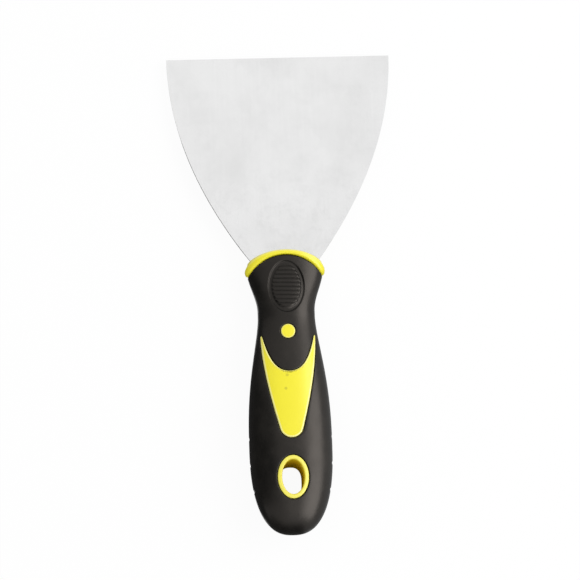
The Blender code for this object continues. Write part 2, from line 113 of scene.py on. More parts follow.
@dataclass(frozen=True)
class HandleForm:
    """Outer form of the handle: a rounded butt, a belly, a straight waist and a flare to the mouth.

    Every section is a superellipse. The solid has flat facets on its top, bottom and flanks, which
    lie a little inside the round form, so the sizes are scaled and taken in to those facets.
    """

    length: float = 124.4 * MM
    belly_from_butt: float = 39.5 * MM
    belly_width: float = 37.1 * MM
    belly_thickness: float = 25.0 * MM
    waist_length: float = 2.8 * MM
    waist_width: float = 25.6 * MM
    waist_thickness: float = 18.6 * MM
    flare_length: float = 19.0 * MM
    flare_setback: float = 5.4 * MM
    mouth_width: float = 34.4 * MM
    mouth_thickness: float = 15.6 * MM
    mouth_radius: float = 20.0 * MM
    wall: float = 2.6 * MM
    power: float = 2.4
    butt_power: float = 2.5
    taper_power: float = 1.65
    taper_fullness: float = 2.5
    solid_facets: int = 32
    taken_in: float = 0.03 * MM
    arch_rounds: int = 40

    @property
    def facet_share(self) -> float:
        """How far the solid's flat facets lie out, as a share of the round form."""
        return math.cos(math.pi / self.solid_facets) ** (2 / self.power)

    @property
    def waist_front(self) -> float:
        """Place where the flare starts."""
        return self.length - self.flare_setback - self.flare_length

    @property
    def waist_back(self) -> float:
        """Place where the taper from the belly ends."""
        return self.waist_front - self.waist_length

    def half_size(self, along: Numbers, belly: float, waist: float, mouth: float,
                  grown: Numbers) -> Numbers:
        """Half of the width or of the thickness: the waist plus a taper, plus a flare, round at the butt.

        Args:
            along: Distances from the butt.
            belly: Full size at the belly.
            waist: Full size at the waist.
            mouth: Full size at the mouth.
            grown: How far the form is grown all round.

        Returns:
            Half-sizes at those distances.
        """
        past_belly = (along - self.belly_from_butt) / (self.waist_back - self.belly_from_butt)
        taper = (1 - np.clip(past_belly, 0, 1) ** self.taper_fullness) ** self.taper_power
        flare = smooth_step((along - self.waist_front) / self.flare_length)
        grown = grown - self.taken_in
        half = (waist + (belly - waist) * taper + (mouth - waist) * flare) / 2 + grown
        before_belly = np.clip((self.belly_from_butt - along) / (self.belly_from_butt + grown), 0, 1)
        return self.facet_share * half * (1 - before_belly ** self.butt_power) ** (1 / self.butt_power)

    def butt_places(self, end: float, steps: int, grown: float = 0.0) -> np.ndarray:
        """Distances from the butt that crowd towards its pole: a cosine from the pole to an end.

        Args:
            end: The last distance.
            steps: Steps up to it.
            grown: How far the form is grown all round.

        Returns:
            The distances, the first at the pole.
        """
        reach = self.belly_from_butt + grown - self.taken_in
        turn = np.linspace(0, math.acos((self.belly_from_butt - end) / reach), steps + 1)
        return self.belly_from_butt - reach * np.cos(turn)

    def half_width(self, along: Numbers, grown: Numbers = 0.0) -> Numbers:
        """Half-width at distances from the butt."""
        return self.half_size(along, self.belly_width, self.waist_width, self.mouth_width, grown)

    def half_thickness(self, along: Numbers, grown: Numbers = 0.0) -> Numbers:
        """Half-thickness at distances from the butt."""
        return self.half_size(along, self.belly_thickness, self.waist_thickness,
                              self.mouth_thickness, grown)

    def surface(self, angle: np.ndarray, along: np.ndarray, grown: Numbers = 0.0) -> np.ndarray:
        """Points of the form: width times sine and thickness times cosine, each to the section's power.

        Args:
            angle: Angles round the section, 0 on the front ridge and a quarter turn on the flanks.
            along: Distances from the butt.
            grown: How far the form is grown all round.

        Returns:
            Points on the tool, with a last axis of three.
        """
        angle, along, grown = np.broadcast_arrays(angle, along, grown)
        sine, cosine = np.sin(angle), np.cos(angle)
        across = self.half_width(along, grown) * np.sign(sine) * np.abs(sine) ** (2 / self.power)
        out = self.half_thickness(along, grown) * np.sign(cosine) * np.abs(cosine) ** (2 / self.power)
        return np.stack([across, along, out], axis=-1)

    def angle(self, across: np.ndarray, along: np.ndarray) -> np.ndarray:
        """Angle round the section at which the front face has that distance across."""
        share = np.clip(across / self.half_width(along), -1, 1)
        return np.arcsin(np.sign(share) * np.abs(share) ** (self.power / 2))

    def height(self, across: np.ndarray, along: np.ndarray, grown: float = 0.0) -> np.ndarray:
        """Height of the front face over a point of the plan, from the superellipse's equation."""
        share = np.clip(np.abs(across) / np.maximum(self.half_width(along, grown), MM), 0, 1)
        return self.half_thickness(along, grown) * (1 - share ** self.power) ** (1 / self.power)

    def mouth_arc(self, across: np.ndarray) -> np.ndarray:
        """Place of the grip's front end: a circle across the tool whose top is at the mouth."""
        return self.length - self.mouth_radius + np.sqrt(self.mouth_radius ** 2 - across ** 2)

    def meet_arch(self, angle: np.ndarray, arch: Callable[[np.ndarray], np.ndarray],
                  grown: float = 0.0) -> np.ndarray:
        """Places where the form meets an arch across the tool, found by repeated substitution.

        Args:
            angle: Angles round the section.
            arch: Gives the arch's place for a distance across.
            grown: How far the form is grown all round.

        Returns:
            A distance from the butt for each angle.
        """
        along = np.full_like(angle, self.length)
        for _ in range(self.arch_rounds):
            along = arch(self.surface(angle, along, grown)[..., 0])
        return along


FORM = HandleForm()


def closed_normals(line: np.ndarray) -> np.ndarray:
    """Outward unit normals of a closed line: at each point the mean of its two edges' normals.

    Args:
        line: Points of the line, counter-clockwise, shaped (points, 2).

    Returns:
        A normal for each point.
    """
    edges = np.roll(line, -1, axis=0) - line
    normals = np.stack([edges[:, 1], -edges[:, 0]], axis=1)
    normals /= np.linalg.norm(normals, axis=1, keepdims=True)
    normals = normals + np.roll(normals, 1, axis=0)
    return normals / np.linalg.norm(normals, axis=1, keepdims=True)


def offset_line(line: np.ndarray, distance: float) -> np.ndarray:
    """Closed line moved out along its normals."""
    return line + distance * closed_normals(line)


def offset_lines(line: np.ndarray, distances: np.ndarray) -> np.ndarray:
    """Copies of a closed line, each moved out along its normals by one distance.

    Args:
        line: Points of the line, shaped (points, 2).
        distances: One distance for each copy, or one for each copy and point.

    Returns:
        Lines shaped (copies, points, 2).
    """
    distances = np.asarray(distances, dtype=float)
    distances = distances.reshape(len(distances), -1, 1)
    return line[None] + distances * closed_normals(line)[None]


def between(start: np.ndarray, end: np.ndarray, shares: np.ndarray) -> np.ndarray:
    """Rows of points on the straight way from each point of one line to its partner on another."""
    return start[None] + np.asarray(shares)[:, None, None] * (end - start)[None]


def four_sides(bottom: np.ndarray, right: np.ndarray, top: np.ndarray, left: np.ndarray) -> np.ndarray:
    """Join four open lines, each ending where the next starts, into one closed line."""
    return np.concatenate([bottom[:-1], right[:-1], top[:-1], left[:-1]])


def filled(line: np.ndarray, across: int, along: int) -> np.ndarray:
    """Fill a closed line made by four_sides: the sum of both pairs of sides less the corners' blend.

    Args:
        line: Points of the line, counter-clockwise from the lower left corner.
        across: Steps in the bottom and top sides.
        along: Steps in the right and left sides.

    Returns:
        Points shaped (along + 1, across + 1, components).
    """
    closed = np.concatenate([line, line[:1]])
    bottom = closed[:across + 1]
    right = closed[across:across + along + 1]
    top = closed[across + along:2 * across + along + 1][::-1]
    left = closed[2 * across + along:][::-1]
    u = np.linspace(0, 1, across + 1)[None, :, None]
    v = np.linspace(0, 1, along + 1)[:, None, None]
    corners = ((1 - v) * ((1 - u) * bottom[0] + u * bottom[-1]) + v * ((1 - u) * top[0] + u * top[-1]))
    return (1 - v) * bottom[None] + v * top[None] + (1 - u) * left[:, None] + u * right[:, None] - corners


def on_plan(plan: np.ndarray, height: np.ndarray) -> np.ndarray:
    """Points of the tool over plan points, at given heights."""
    return np.concatenate([plan, np.broadcast_to(height, plan.shape[:-1])[..., None]], axis=-1)


def on_form(plan: np.ndarray, grown: float = 0.0, drop: Numbers = 0.0) -> np.ndarray:
    """Points of the tool over plan points, on the front of the form grown all round, less a drop."""
    return on_plan(plan, FORM.height(plan[..., 0], plan[..., 1], grown) - drop)


def on_inner_skin(plan: np.ndarray, ledge: float) -> np.ndarray:
    """Points of the tool over plan points, on the grip's inner skin but nowhere below a ledge."""
    return on_plan(plan, np.maximum(FORM.height(plan[..., 0], plan[..., 1], -FORM.wall), ledge))


def rounding(radius: float, steps: int) -> tuple[np.ndarray, np.ndarray]:
    """Quarter circle that rounds an edge over.

    Args:
        radius: Radius of the rounding.
        steps: Steps from the level side to the wall.

    Returns:
        Distances in from the wall, and drops below the level side.
    """
    turn = np.linspace(0, QUARTER, steps + 1)
    return radius * (1 - np.sin(turn)), radius * (1 - np.cos(turn))


class Shell:
    """Grids of points on the tool that are welded into one mesh."""

    def __init__(self) -> None:
        """Start with no points."""
        self._points: list[np.ndarray] = []
        self._shelters: list[np.ndarray] = []
        self._rim_highlights: list[np.ndarray] = []
        self._faces: list[np.ndarray] = []
        self._count = 0

    def add(self, grid: np.ndarray, around: bool = False, shelter: Numbers = 0.0,
            rim: Numbers = 0.0) -> None:
        """Add a grid as a sheet of four-sided faces.

        Args:
            grid: Points shaped (rows, columns, 3).
            around: Whether the last column joins the first.
            shelter: How far each point lies inside an opening, from 0 to 1; it sets painted shade there.
            rim: Share of painted highlight at each point, on rounded rims, from 0 to 1.
        """
        rows, columns = grid.shape[:2]
        index = self._count + np.arange(rows * columns).reshape(rows, columns)
        if around:
            index = np.concatenate([index, index[:, :1]], axis=1)
        corners = (index[:-1, :-1], index[:-1, 1:], index[1:, 1:], index[1:, :-1])
        self._faces.append(np.stack(corners, axis=-1).reshape(-1, 4))
        self._points.append(grid.reshape(-1, 3))
        self._shelters.append(np.broadcast_to(shelter, (rows, columns)).ravel())
        self._rim_highlights.append(np.broadcast_to(rim, (rows, columns)).ravel())
        self._count += rows * columns

    def add_both(self, grid: np.ndarray, around: bool = False) -> None:
        """Add a grid of the front half and its mirror image on the rear half."""
        for face in Face:
            self.add(grid * (1, 1, face.value), around)

    def put_on(self, face: Face) -> None:
        """Move grids made for the front face to either face."""
        self._points = [points * (1, 1, face.value) for points in self._points]

    def mesh(self, name: str, axes: ToolAxes) -> bpy.types.Mesh:
        """Weld the grids, turn the faces outwards and shade them smooth.

        Args:
            name: Name of the mesh.
            axes: Where the tool lies in the frame.

        Returns:
            The mesh, with its place in its points.
        """
        points = axes.to_frame(np.concatenate(self._points)).astype(np.float32)
        faces = np.concatenate(self._faces).astype(np.int32)
        mesh = bpy.data.meshes.new(name)
        mesh.vertices.add(len(points))
        mesh.vertices.foreach_set("co", points.ravel())
        mesh.loops.add(faces.size)
        mesh.loops.foreach_set("vertex_index", faces.ravel())
        mesh.polygons.add(len(faces))
        mesh.polygons.foreach_set("loop_start", np.arange(0, faces.size, 4, dtype=np.int32))
        mesh.update(calc_edges=True)
        for mark, values in ((SHELTER, self._shelters), (PAINTED_HIGHLIGHT, self._rim_highlights)):
            values = np.concatenate(values).astype(np.float32)
            mesh.attributes.new(mark, "FLOAT", "POINT").data.foreach_set("value", values)
        welded = bmesh.new()
        welded.from_mesh(mesh)
        bmesh.ops.remove_doubles(welded, verts=welded.verts, dist=WELD_DISTANCE)
        bmesh.ops.dissolve_degenerate(welded, edges=welded.edges, dist=WELD_DISTANCE)
        bmesh.ops.recalc_face_normals(welded, faces=welded.faces)
        welded.to_mesh(mesh)
        welded.free()
        mesh.shade_smooth()
        mesh.set_sharp_from_angle(angle=SHARP_ANGLE)
        return mesh


def linear(hex_code: str) -> tuple[float, float, float, float]:
    """Turn a colour to linear light, by the sRGB standard's curve.

    Args:
        hex_code: An sRGB colour such as F2E52F.

    Returns:
        Red, green, blue and alpha.
    """
    channels = [int(hex_code[i:i + 2], 16) / 255 for i in (0, 2, 4)]
    values = [c / 12.92 if c <= 0.04045 else ((c + 0.055) / 1.055) ** 2.4 for c in channels]
    return (*values, 1.0)


def set_inputs(tree: bpy.types.NodeTree, node: bpy.types.Node, inputs: dict) -> None:
    """Give a node's inputs their values and links.

    Args:
        tree: The node tree.
        node: The node.
        inputs: Value or other node's output for each named or numbered input.
    """
    for key, value in inputs.items():
        if isinstance(value, bpy.types.NodeSocket):
            tree.links.new(value, node.inputs[key])
        else:
            node.inputs[key].default_value = value


def add_node(tree: bpy.types.NodeTree, kind: str, inputs: dict | None = None,
             **settings: object) -> bpy.types.Node:
    """Add a node to a tree.

    Args:
        tree: The node tree.
        kind: Blender's name of the node's type.
        inputs: Value or other node's output for each named or numbered input.
        settings: Properties of the node.

    Returns:
        The new node.
    """
    node = tree.nodes.new(kind)
    for name, value in settings.items():
        setattr(node, name, value)
    set_inputs(tree, node, inputs or {})
    return node


def empty_material(name: str) -> tuple[bpy.types.Material, bpy.types.NodeTree, bpy.types.Node]:
    """Start a material with a Principled shader.

    Args:
        name: Name of the material.

    Returns:
        The material, its node tree and that shader.
    """
    material = bpy.data.materials.new(name)
    material.use_nodes = True
    return material, material.node_tree, material.node_tree.nodes["Principled BSDF"]


@dataclass(frozen=True)
class BladeSteel:
    """Cold-rolled spring steel, ground and then polished.

    It mirrors its surroundings softly, so under white light it reads as an even pale grey. Faint
    polishing lines run along the blade, and cloudy handling marks dull it a little in places, with
    small scuffs towards the handle.
    """

    slot: str = "blade_steel"
    bright: str = "EDEDED"
    clouded: str = "E2E2E2"
    roughness: float = 0.24
    clouded_roughness: float = 0.27
    line_spacing: float = 0.9 * MM  # drawn coarser than real polishing lines, which wouldn't show
    line_length: float = 60 * MM
    line_share: float = 0.4
    cloud_size: float = 22 * MM
    cloud_levels: tuple[float, float] = (0.4, 0.75)
    cloud_share: float = 0.75
    scuff_size: float = 6 * MM
    scuff_levels: tuple[float, float] = (0.48, 0.75)
    scuff_share: float = 0.25
    handled_share: float = 0.8
    handled_from: float = 62 * MM
    handled_full: float = 36 * MM

    def build(self) -> bpy.types.Material:
        """Make the material: lines, clouds and scuffs add up to a share that dulls the bright steel.

        Returns:
            The material.
        """
        material, tree, shader = empty_material("polished_spring_steel")
        place = add_node(tree, "ShaderNodeTexCoord").outputs["Object"]
        stretch = add_node(tree, "ShaderNodeMapping", {
            "Vector": place, "Scale": (1 / self.line_spacing, 1 / self.line_length, 1)})
        lines = add_node(tree, "ShaderNodeTexNoise", {
            "Vector": stretch.outputs[0], "Scale": 1.0, "Detail": 3.0, "Roughness": 0.6})
        clouds = add_node(tree, "ShaderNodeTexNoise", {
            "Vector": place, "Scale": 1 / self.cloud_size, "Detail": 4.0, "Roughness": 0.55})
        scuffs = add_node(tree, "ShaderNodeTexNoise", {
            "Vector": place, "Scale": 1 / self.scuff_size, "Detail": 5.0, "Roughness": 0.7})
        along = add_node(tree, "ShaderNodeSeparateXYZ", {0: place}).outputs["Y"]
        handled = add_node(tree, "ShaderNodeMapRange", {
            "Value": along, "From Min": self.handled_from, "From Max": self.handled_full,
            "To Min": self.scuff_share, "To Max": self.handled_share})
        marks = add_node(tree, "ShaderNodeMath", {
            0: lines.outputs["Fac"], 1: self.line_share}, operation="MULTIPLY").outputs[0]
        for noise, levels, most in ((clouds, self.cloud_levels, self.cloud_share),
                                    (scuffs, self.scuff_levels, handled.outputs[0])):
            more = add_node(tree, "ShaderNodeMapRange", {
                "Value": noise.outputs["Fac"], "From Min": levels[0], "From Max": levels[1],
                "To Max": most})
            marks = add_node(tree, "ShaderNodeMath", {0: marks, 1: more.outputs[0]},
                             operation="ADD").outputs[0]
        colour = add_node(tree, "ShaderNodeMix", {
            "Factor": marks, "A": linear(self.bright), "B": linear(self.clouded)}, data_type="RGBA")
        rough = add_node(tree, "ShaderNodeMapRange", {
            "Value": marks, "To Min": self.roughness, "To Max": self.clouded_roughness})
        set_inputs(tree, shader, {"Base Color": colour.outputs["Result"],
                                  "Roughness": rough.outputs[0], "Metallic": 1.0})
        return material


@dataclass(frozen=True)
class MouldedPlastic:
    """Injection-moulded polypropylene, coloured through.

    It is bright and satin: a soft highlight, a very slight unevenness of colour, a fine orange peel
    from the mould, a painted highlight of paler colour on its rounded rims, painted shade of darker,
    browner colour and less shine where it lines a hole, and a few dark specks in the plastic.
    """

    slot: str
    name: str
    colour: str
    deep_colour: str
    roughness: float = 0.36
    roughness_spread: float = 0.05
    specular: float = 0.5
    ior: float = 1.49
    mottle_size: float = 9 * MM
    peel_size: float = 0.7 * MM
    peel_depth: float = 0.01 * MM
    peel_strength: float = 0.35
    # Painted highlight: a paler colour on rounded rims, in place of the reflection of bright
    # surroundings.
    rim_highlight_colour: str = "FCF6A4"
    rim_highlight_share: float = 0.8
    # Painted shade: a darker, browner colour where the plastic lines a hole.
    shelter_shade_colour: str = "A85E26"
    shelter_shade_share: float = 0.4
    speck_colour: str = "D4CA26"
    speck_size: float = 1.0 * MM
    speck_core: float = 0.3 * MM

    def build(self, specks: np.ndarray = np.empty((0, 3))) -> bpy.types.Material:
        """Make the material: layers of other colours over the plain one.

        Args:
            specks: Places of dark specks in the frame.

        Returns:
            The material.
        """
        material, tree, shader = empty_material(self.name)
        place = add_node(tree, "ShaderNodeTexCoord").outputs["Object"]
        mottle = add_node(tree, "ShaderNodeTexNoise", {
            "Vector": place, "Scale": 1 / self.mottle_size, "Detail": 3.0})
        shelter = add_node(tree, "ShaderNodeAttribute", attribute_name=SHELTER)
        rim = add_node(tree, "ShaderNodeAttribute", attribute_name=PAINTED_HIGHLIGHT)
        layers = [(mottle.outputs["Fac"], self.deep_colour)]
        # Colour layers: painted highlight on rims, then painted shade inside holes.
        for mark, share, other in ((rim, self.rim_highlight_share, self.rim_highlight_colour),
                                   (shelter, self.shelter_shade_share, self.shelter_shade_colour)):
            part = add_node(tree, "ShaderNodeMath", {0: mark.outputs["Fac"], 1: share},
                            operation="MULTIPLY")
            layers.append((part.outputs[0], other))
        for speck in specks:
            away = add_node(tree, "ShaderNodeVectorMath", {0: place, 1: speck}, operation="DISTANCE")
            dark = add_node(tree, "ShaderNodeMapRange", {
                "Value": away.outputs["Value"], "From Min": self.speck_size,
                "From Max": self.speck_core}, interpolation_type="SMOOTHSTEP")
            layers.append((dark.outputs[0], self.speck_colour))
        colour = linear(self.colour)
        for factor, other in layers:
            colour = add_node(tree, "ShaderNodeMix", {
                "Factor": factor, "A": colour, "B": linear(other)}, data_type="RGBA").outputs["Result"]
        peel = add_node(tree, "ShaderNodeTexNoise", {
            "Vector": place, "Scale": 1 / self.peel_size, "Detail": 2.0})
        bump = add_node(tree, "ShaderNodeBump", {
            "Height": peel.outputs["Fac"], "Strength": self.peel_strength, "Distance": self.peel_depth})
        rough = add_node(tree, "ShaderNodeMapRange", {
            "Value": peel.outputs["Fac"], "To Min": self.roughness - self.roughness_spread,
            "To Max": self.roughness + self.roughness_spread})
        # Painted shade also takes the shine away inside a hole.
        shine = add_node(tree, "ShaderNodeMapRange", {
            "Value": shelter.outputs["Fac"], "To Min": self.specular, "To Max": 0.0})
        set_inputs(tree, shader, {
            "Base Color": colour, "Roughness": rough.outputs[0], "IOR": self.ior,
            "Specular IOR Level": shine.outputs[0], "Normal": bump.outputs[0]})
        return material


@dataclass(frozen=True)
class SoftGrip:
    """Black thermoplastic rubber, moulded over the core against a spark-eroded mould.

    It is nearly black with a soft satin glow where it faces the light, a fine grain that breaks
    the glow up, and a little dust that greys it unevenly.
    """

    slot: str = "soft_grip"
    colour: str = "0D0D0C"
    dusty: str = "171614"
    glow: str = "FFF4EA"
    roughness: float = 0.32
    dusty_roughness: float = 0.42
    specular: float = 0.34
    grain_size: float = 0.45 * MM  # drawn coarser than the real grain, so that it shows
    grain_depth: float = 0.03 * MM
    grain_strength: float = 0.4
    dust_size: float = 14 * MM
    dust_levels: tuple[float, float] = (0.4, 0.7)

    def build(self) -> bpy.types.Material:
        """Make the material: a cloudy noise spreads the dust, and a fine one makes the grain.

        Returns:
            The material.
        """
        material, tree, shader = empty_material("black_thermoplastic_rubber")
        place = add_node(tree, "ShaderNodeTexCoord").outputs["Object"]
        dust = add_node(tree, "ShaderNodeTexNoise", {
            "Vector": place, "Scale": 1 / self.dust_size, "Detail": 6.0, "Roughness": 0.65})
        cover = add_node(tree, "ShaderNodeMapRange", {
            "Value": dust.outputs["Fac"], "From Min": self.dust_levels[0],
            "From Max": self.dust_levels[1]}, interpolation_type="SMOOTHSTEP")
        colour = add_node(tree, "ShaderNodeMix", {
            "Factor": cover.outputs[0], "A": linear(self.colour), "B": linear(self.dusty)},
            data_type="RGBA")
        grain = add_node(tree, "ShaderNodeTexNoise", {
            "Vector": place, "Scale": 1 / self.grain_size, "Detail": 2.0, "Roughness": 0.6})
        bump = add_node(tree, "ShaderNodeBump", {
            "Height": grain.outputs["Fac"], "Strength": self.grain_strength,
            "Distance": self.grain_depth})
        rough = add_node(tree, "ShaderNodeMapRange", {
            "Value": cover.outputs[0], "To Min": self.roughness, "To Max": self.dusty_roughness})
        set_inputs(tree, shader, {
            "Base Color": colour.outputs["Result"], "Roughness": rough.outputs[0],
            "Normal": bump.outputs[0], "Specular IOR Level": self.specular,
            "Specular Tint": linear(self.glow)})
        return material


@dataclass(frozen=True)
class RivetSteel:
    """Drawn mild steel, headed cold: grey, with fine turning marks from the tool that headed it."""

    slot: str = "rivet_steel"
    colour: str = "A8A8A6"
    dull: str = "8F8F8D"
    roughness: float = 0.34
    dull_roughness: float = 0.5
    mark_size: float = 0.6 * MM

    def build(self) -> bpy.types.Material:
        """Make the material: a fine noise mixes the clean and the dull steel.

        Returns:
            The material.
        """
        material, tree, shader = empty_material("headed_mild_steel")
        place = add_node(tree, "ShaderNodeTexCoord").outputs["Object"]
        marks = add_node(tree, "ShaderNodeTexNoise", {
            "Vector": place, "Scale": 1 / self.mark_size, "Detail": 3.0})
        colour = add_node(tree, "ShaderNodeMix", {
            "Factor": marks.outputs["Fac"], "A": linear(self.colour), "B": linear(self.dull)},
            data_type="RGBA")
        rough = add_node(tree, "ShaderNodeMapRange", {
            "Value": marks.outputs["Fac"], "To Min": self.roughness, "To Max": self.dull_roughness})
        set_inputs(tree, shader, {"Base Color": colour.outputs["Result"],
                                  "Roughness": rough.outputs[0], "Metallic": 1.0})
        return material


YELLOW_TRIM = MouldedPlastic("yellow_plastic", "yellow_satin_polypropylene", "F6EB2C", "F0E422")
TONGUE_SPECKS = ((-1.2, 70.0), (-2.0, 64.0))  # across and along, in millimetres
CORE_PLASTIC = MouldedPlastic("core_plastic", "yellow_core_polypropylene", "E8DA30", "DDCE28", 0.5)


def new_object(name: str, data: bpy.types.ID) -> bpy.types.Object:
    """Put a mesh, a lamp or a camera into the scene as an object at the origin.

    Args:
        name: Name of the object.
        data: The mesh, lamp or camera.

    Returns:
        The object.
    """
    made = bpy.data.objects.new(name, data)
    bpy.context.scene.collection.objects.link(made)
    return made


def put_in_place(shell: Shell, name: str, axes: ToolAxes, material: bpy.types.Material,
                 node: str) -> None:
    """Make a piece's mesh and put it into the scene in the place of a solid.

    Args:
        shell: The piece's surface.
        name: Name of the piece.
        axes: Where the tool lies in the frame.
        material: Its finish.
        node: The solid that it stands for.
    """
    mesh = shell.mesh(name, axes)
    mesh.materials.append(material)
    piece = new_object(name, mesh)
    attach(piece, BODY)
    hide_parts(node)
    mesh.calc_loop_triangles()
    LOG.info("%s: %d triangles, stands for %s", name, len(mesh.loop_triangles), node)


def put_on_face(shell: Shell, name: str, axes: ToolAxes, face: Face,
                material: bpy.types.Material) -> None:
    """Put a piece of yellow trim, made for the front face, on either face.

    Args:
        shell: The piece's surface.
        name: Name of the piece, without its face.
        axes: Where the tool lies in the frame.
        face: The face that it goes on.
        material: Its finish.
    """
    shell.put_on(face)
    node = f"{name}_{face.name.lower()}"
    put_in_place(shell, f"{node}_moulding", axes, material, node)


@dataclass(frozen=True)
class TrimSizes:
    """Sizes that the yellow trim shares with the windows of the grip."""

    clearance: float = 0.3 * MM
    proud: float = 0.25 * MM
    rivet_head: float = 6.3 * MM
    over_rivet: float = 5.5 * MM
    upper_rivet: float = 89.9 * MM
    lower_rivet: float = 57.05 * MM
    tongue_end: float = 42.2 * MM
    tongue_end_radius: float = 5.2 * MM
    tongue_bulge: float = 16.3 * MM
    horn_side_margin: float = 1.6 * MM
    horn_behind_rivet: float = 1.8 * MM
    horn_tip_width: float = 0.6 * MM
    notch_depth: float = 16.2 * MM
    notch_flatness: float = 0.47
    ledge: float = 2.5 * MM
    bush_from_butt: float = 24.8 * MM
    bush_width: float = 13.7 * MM
    bush_length: float = 19.0 * MM
    bush_wall: float = 1.9 * MM
    bush_corner: float = math.radians(50)

    def tongue(self, across: int, along: int, tip_steps: int = 6) -> np.ndarray:
        """Outline of the inlay: a round end, sides on a quadratic curve, blunt horns and a curved notch.

        The round end runs up to where its tangent points at the bend of the side curve. The notch
        rises with the square and a little of the fourth power of the distance across.

        Args:
            across: Steps in the round end, and in the notch with the inner halves of both tips.
            along: Steps in each side with the outer half of its tip.
            tip_steps: Steps in half of a tip.

        Returns:
            A closed line, counter-clockwise from the left end of the round end.
        """
        horn_tip = self.upper_rivet - self.horn_behind_rivet
        horn = FORM.half_width(horn_tip) - self.horn_side_margin
        half_tip = self.horn_tip_width / 2
        bend = np.array([horn, horn_tip - self.tongue_bulge])
        centre = np.array([0, self.tongue_end + self.tongue_end_radius])
        to_bend = bend - centre
        touch = math.atan2(to_bend[1], to_bend[0]) - math.acos(
            self.tongue_end_radius / np.linalg.norm(to_bend))
        turn = np.linspace(-math.pi - touch, touch, across + 1)
        round_end = centre + self.tongue_end_radius * np.stack([np.cos(turn), np.sin(turn)], axis=1)
        shoulder = np.array([horn, horn_tip - half_tip])
        t = np.linspace(0, 1, along - tip_steps + 1)[:, None]
        side = (1 - t) ** 2 * round_end[-1] + 2 * t * (1 - t) * bend + t * t * shoulder
        tip_turn = np.linspace(0, math.pi, 2 * tip_steps + 1)
        tip = shoulder + half_tip * np.stack([np.cos(tip_turn) - 1, np.sin(tip_turn)], axis=1)
        v = np.sin(np.linspace(QUARTER, -QUARTER, across - 2 * tip_steps + 1))
        inner = horn - self.horn_tip_width
        rise = self.notch_flatness * v ** 2 + (1 - self.notch_flatness) * v ** 4
        bottom = shoulder[1] - self.notch_depth + half_tip
        notch = np.stack([inner * v, bottom + (shoulder[1] - bottom) * rise], axis=1)
        right = np.concatenate([side, tip[1:tip_steps + 1]])
        mirror = np.array([-1, 1])
        top = np.concatenate([tip[tip_steps:-1], notch, (tip[tip_steps:-1] * mirror)[::-1]])
        return four_sides(round_end, right, top, (right * mirror)[::-1])

    def oval(self, half_across: float, half_along: float, centre: float, across: int, along: int,
             corner: float) -> np.ndarray:
        """Ellipse whose points are shared out to four sides.

        Args:
            half_across: Half-size across the tool.
            half_along: Half-size along it.
            centre: Place of its centre.
            across: Steps in the lower and upper sides.
            along: Steps in the right and left sides.
            corner: Angle from the across direction at which the sides change.

        Returns:
            A closed line, counter-clockwise from the lower left corner.
        """
        turn = np.concatenate([
            np.linspace(corner - math.pi, -corner, across, endpoint=False),
            np.linspace(-corner, corner, along, endpoint=False),
            np.linspace(corner, math.pi - corner, across, endpoint=False),
            np.linspace(math.pi - corner, math.pi + corner, along, endpoint=False)])
        return np.stack([half_across * np.cos(turn), centre + half_along * np.sin(turn)], axis=1)

    def bush(self, across: int, along: int, grown: float = 0.0) -> np.ndarray:
        """Outline of the bush, grown all round."""
        return self.oval(self.bush_width / 2 + grown, self.bush_length / 2 + grown,
                         self.bush_from_butt, across, along, self.bush_corner)


TRIM = TrimSizes()


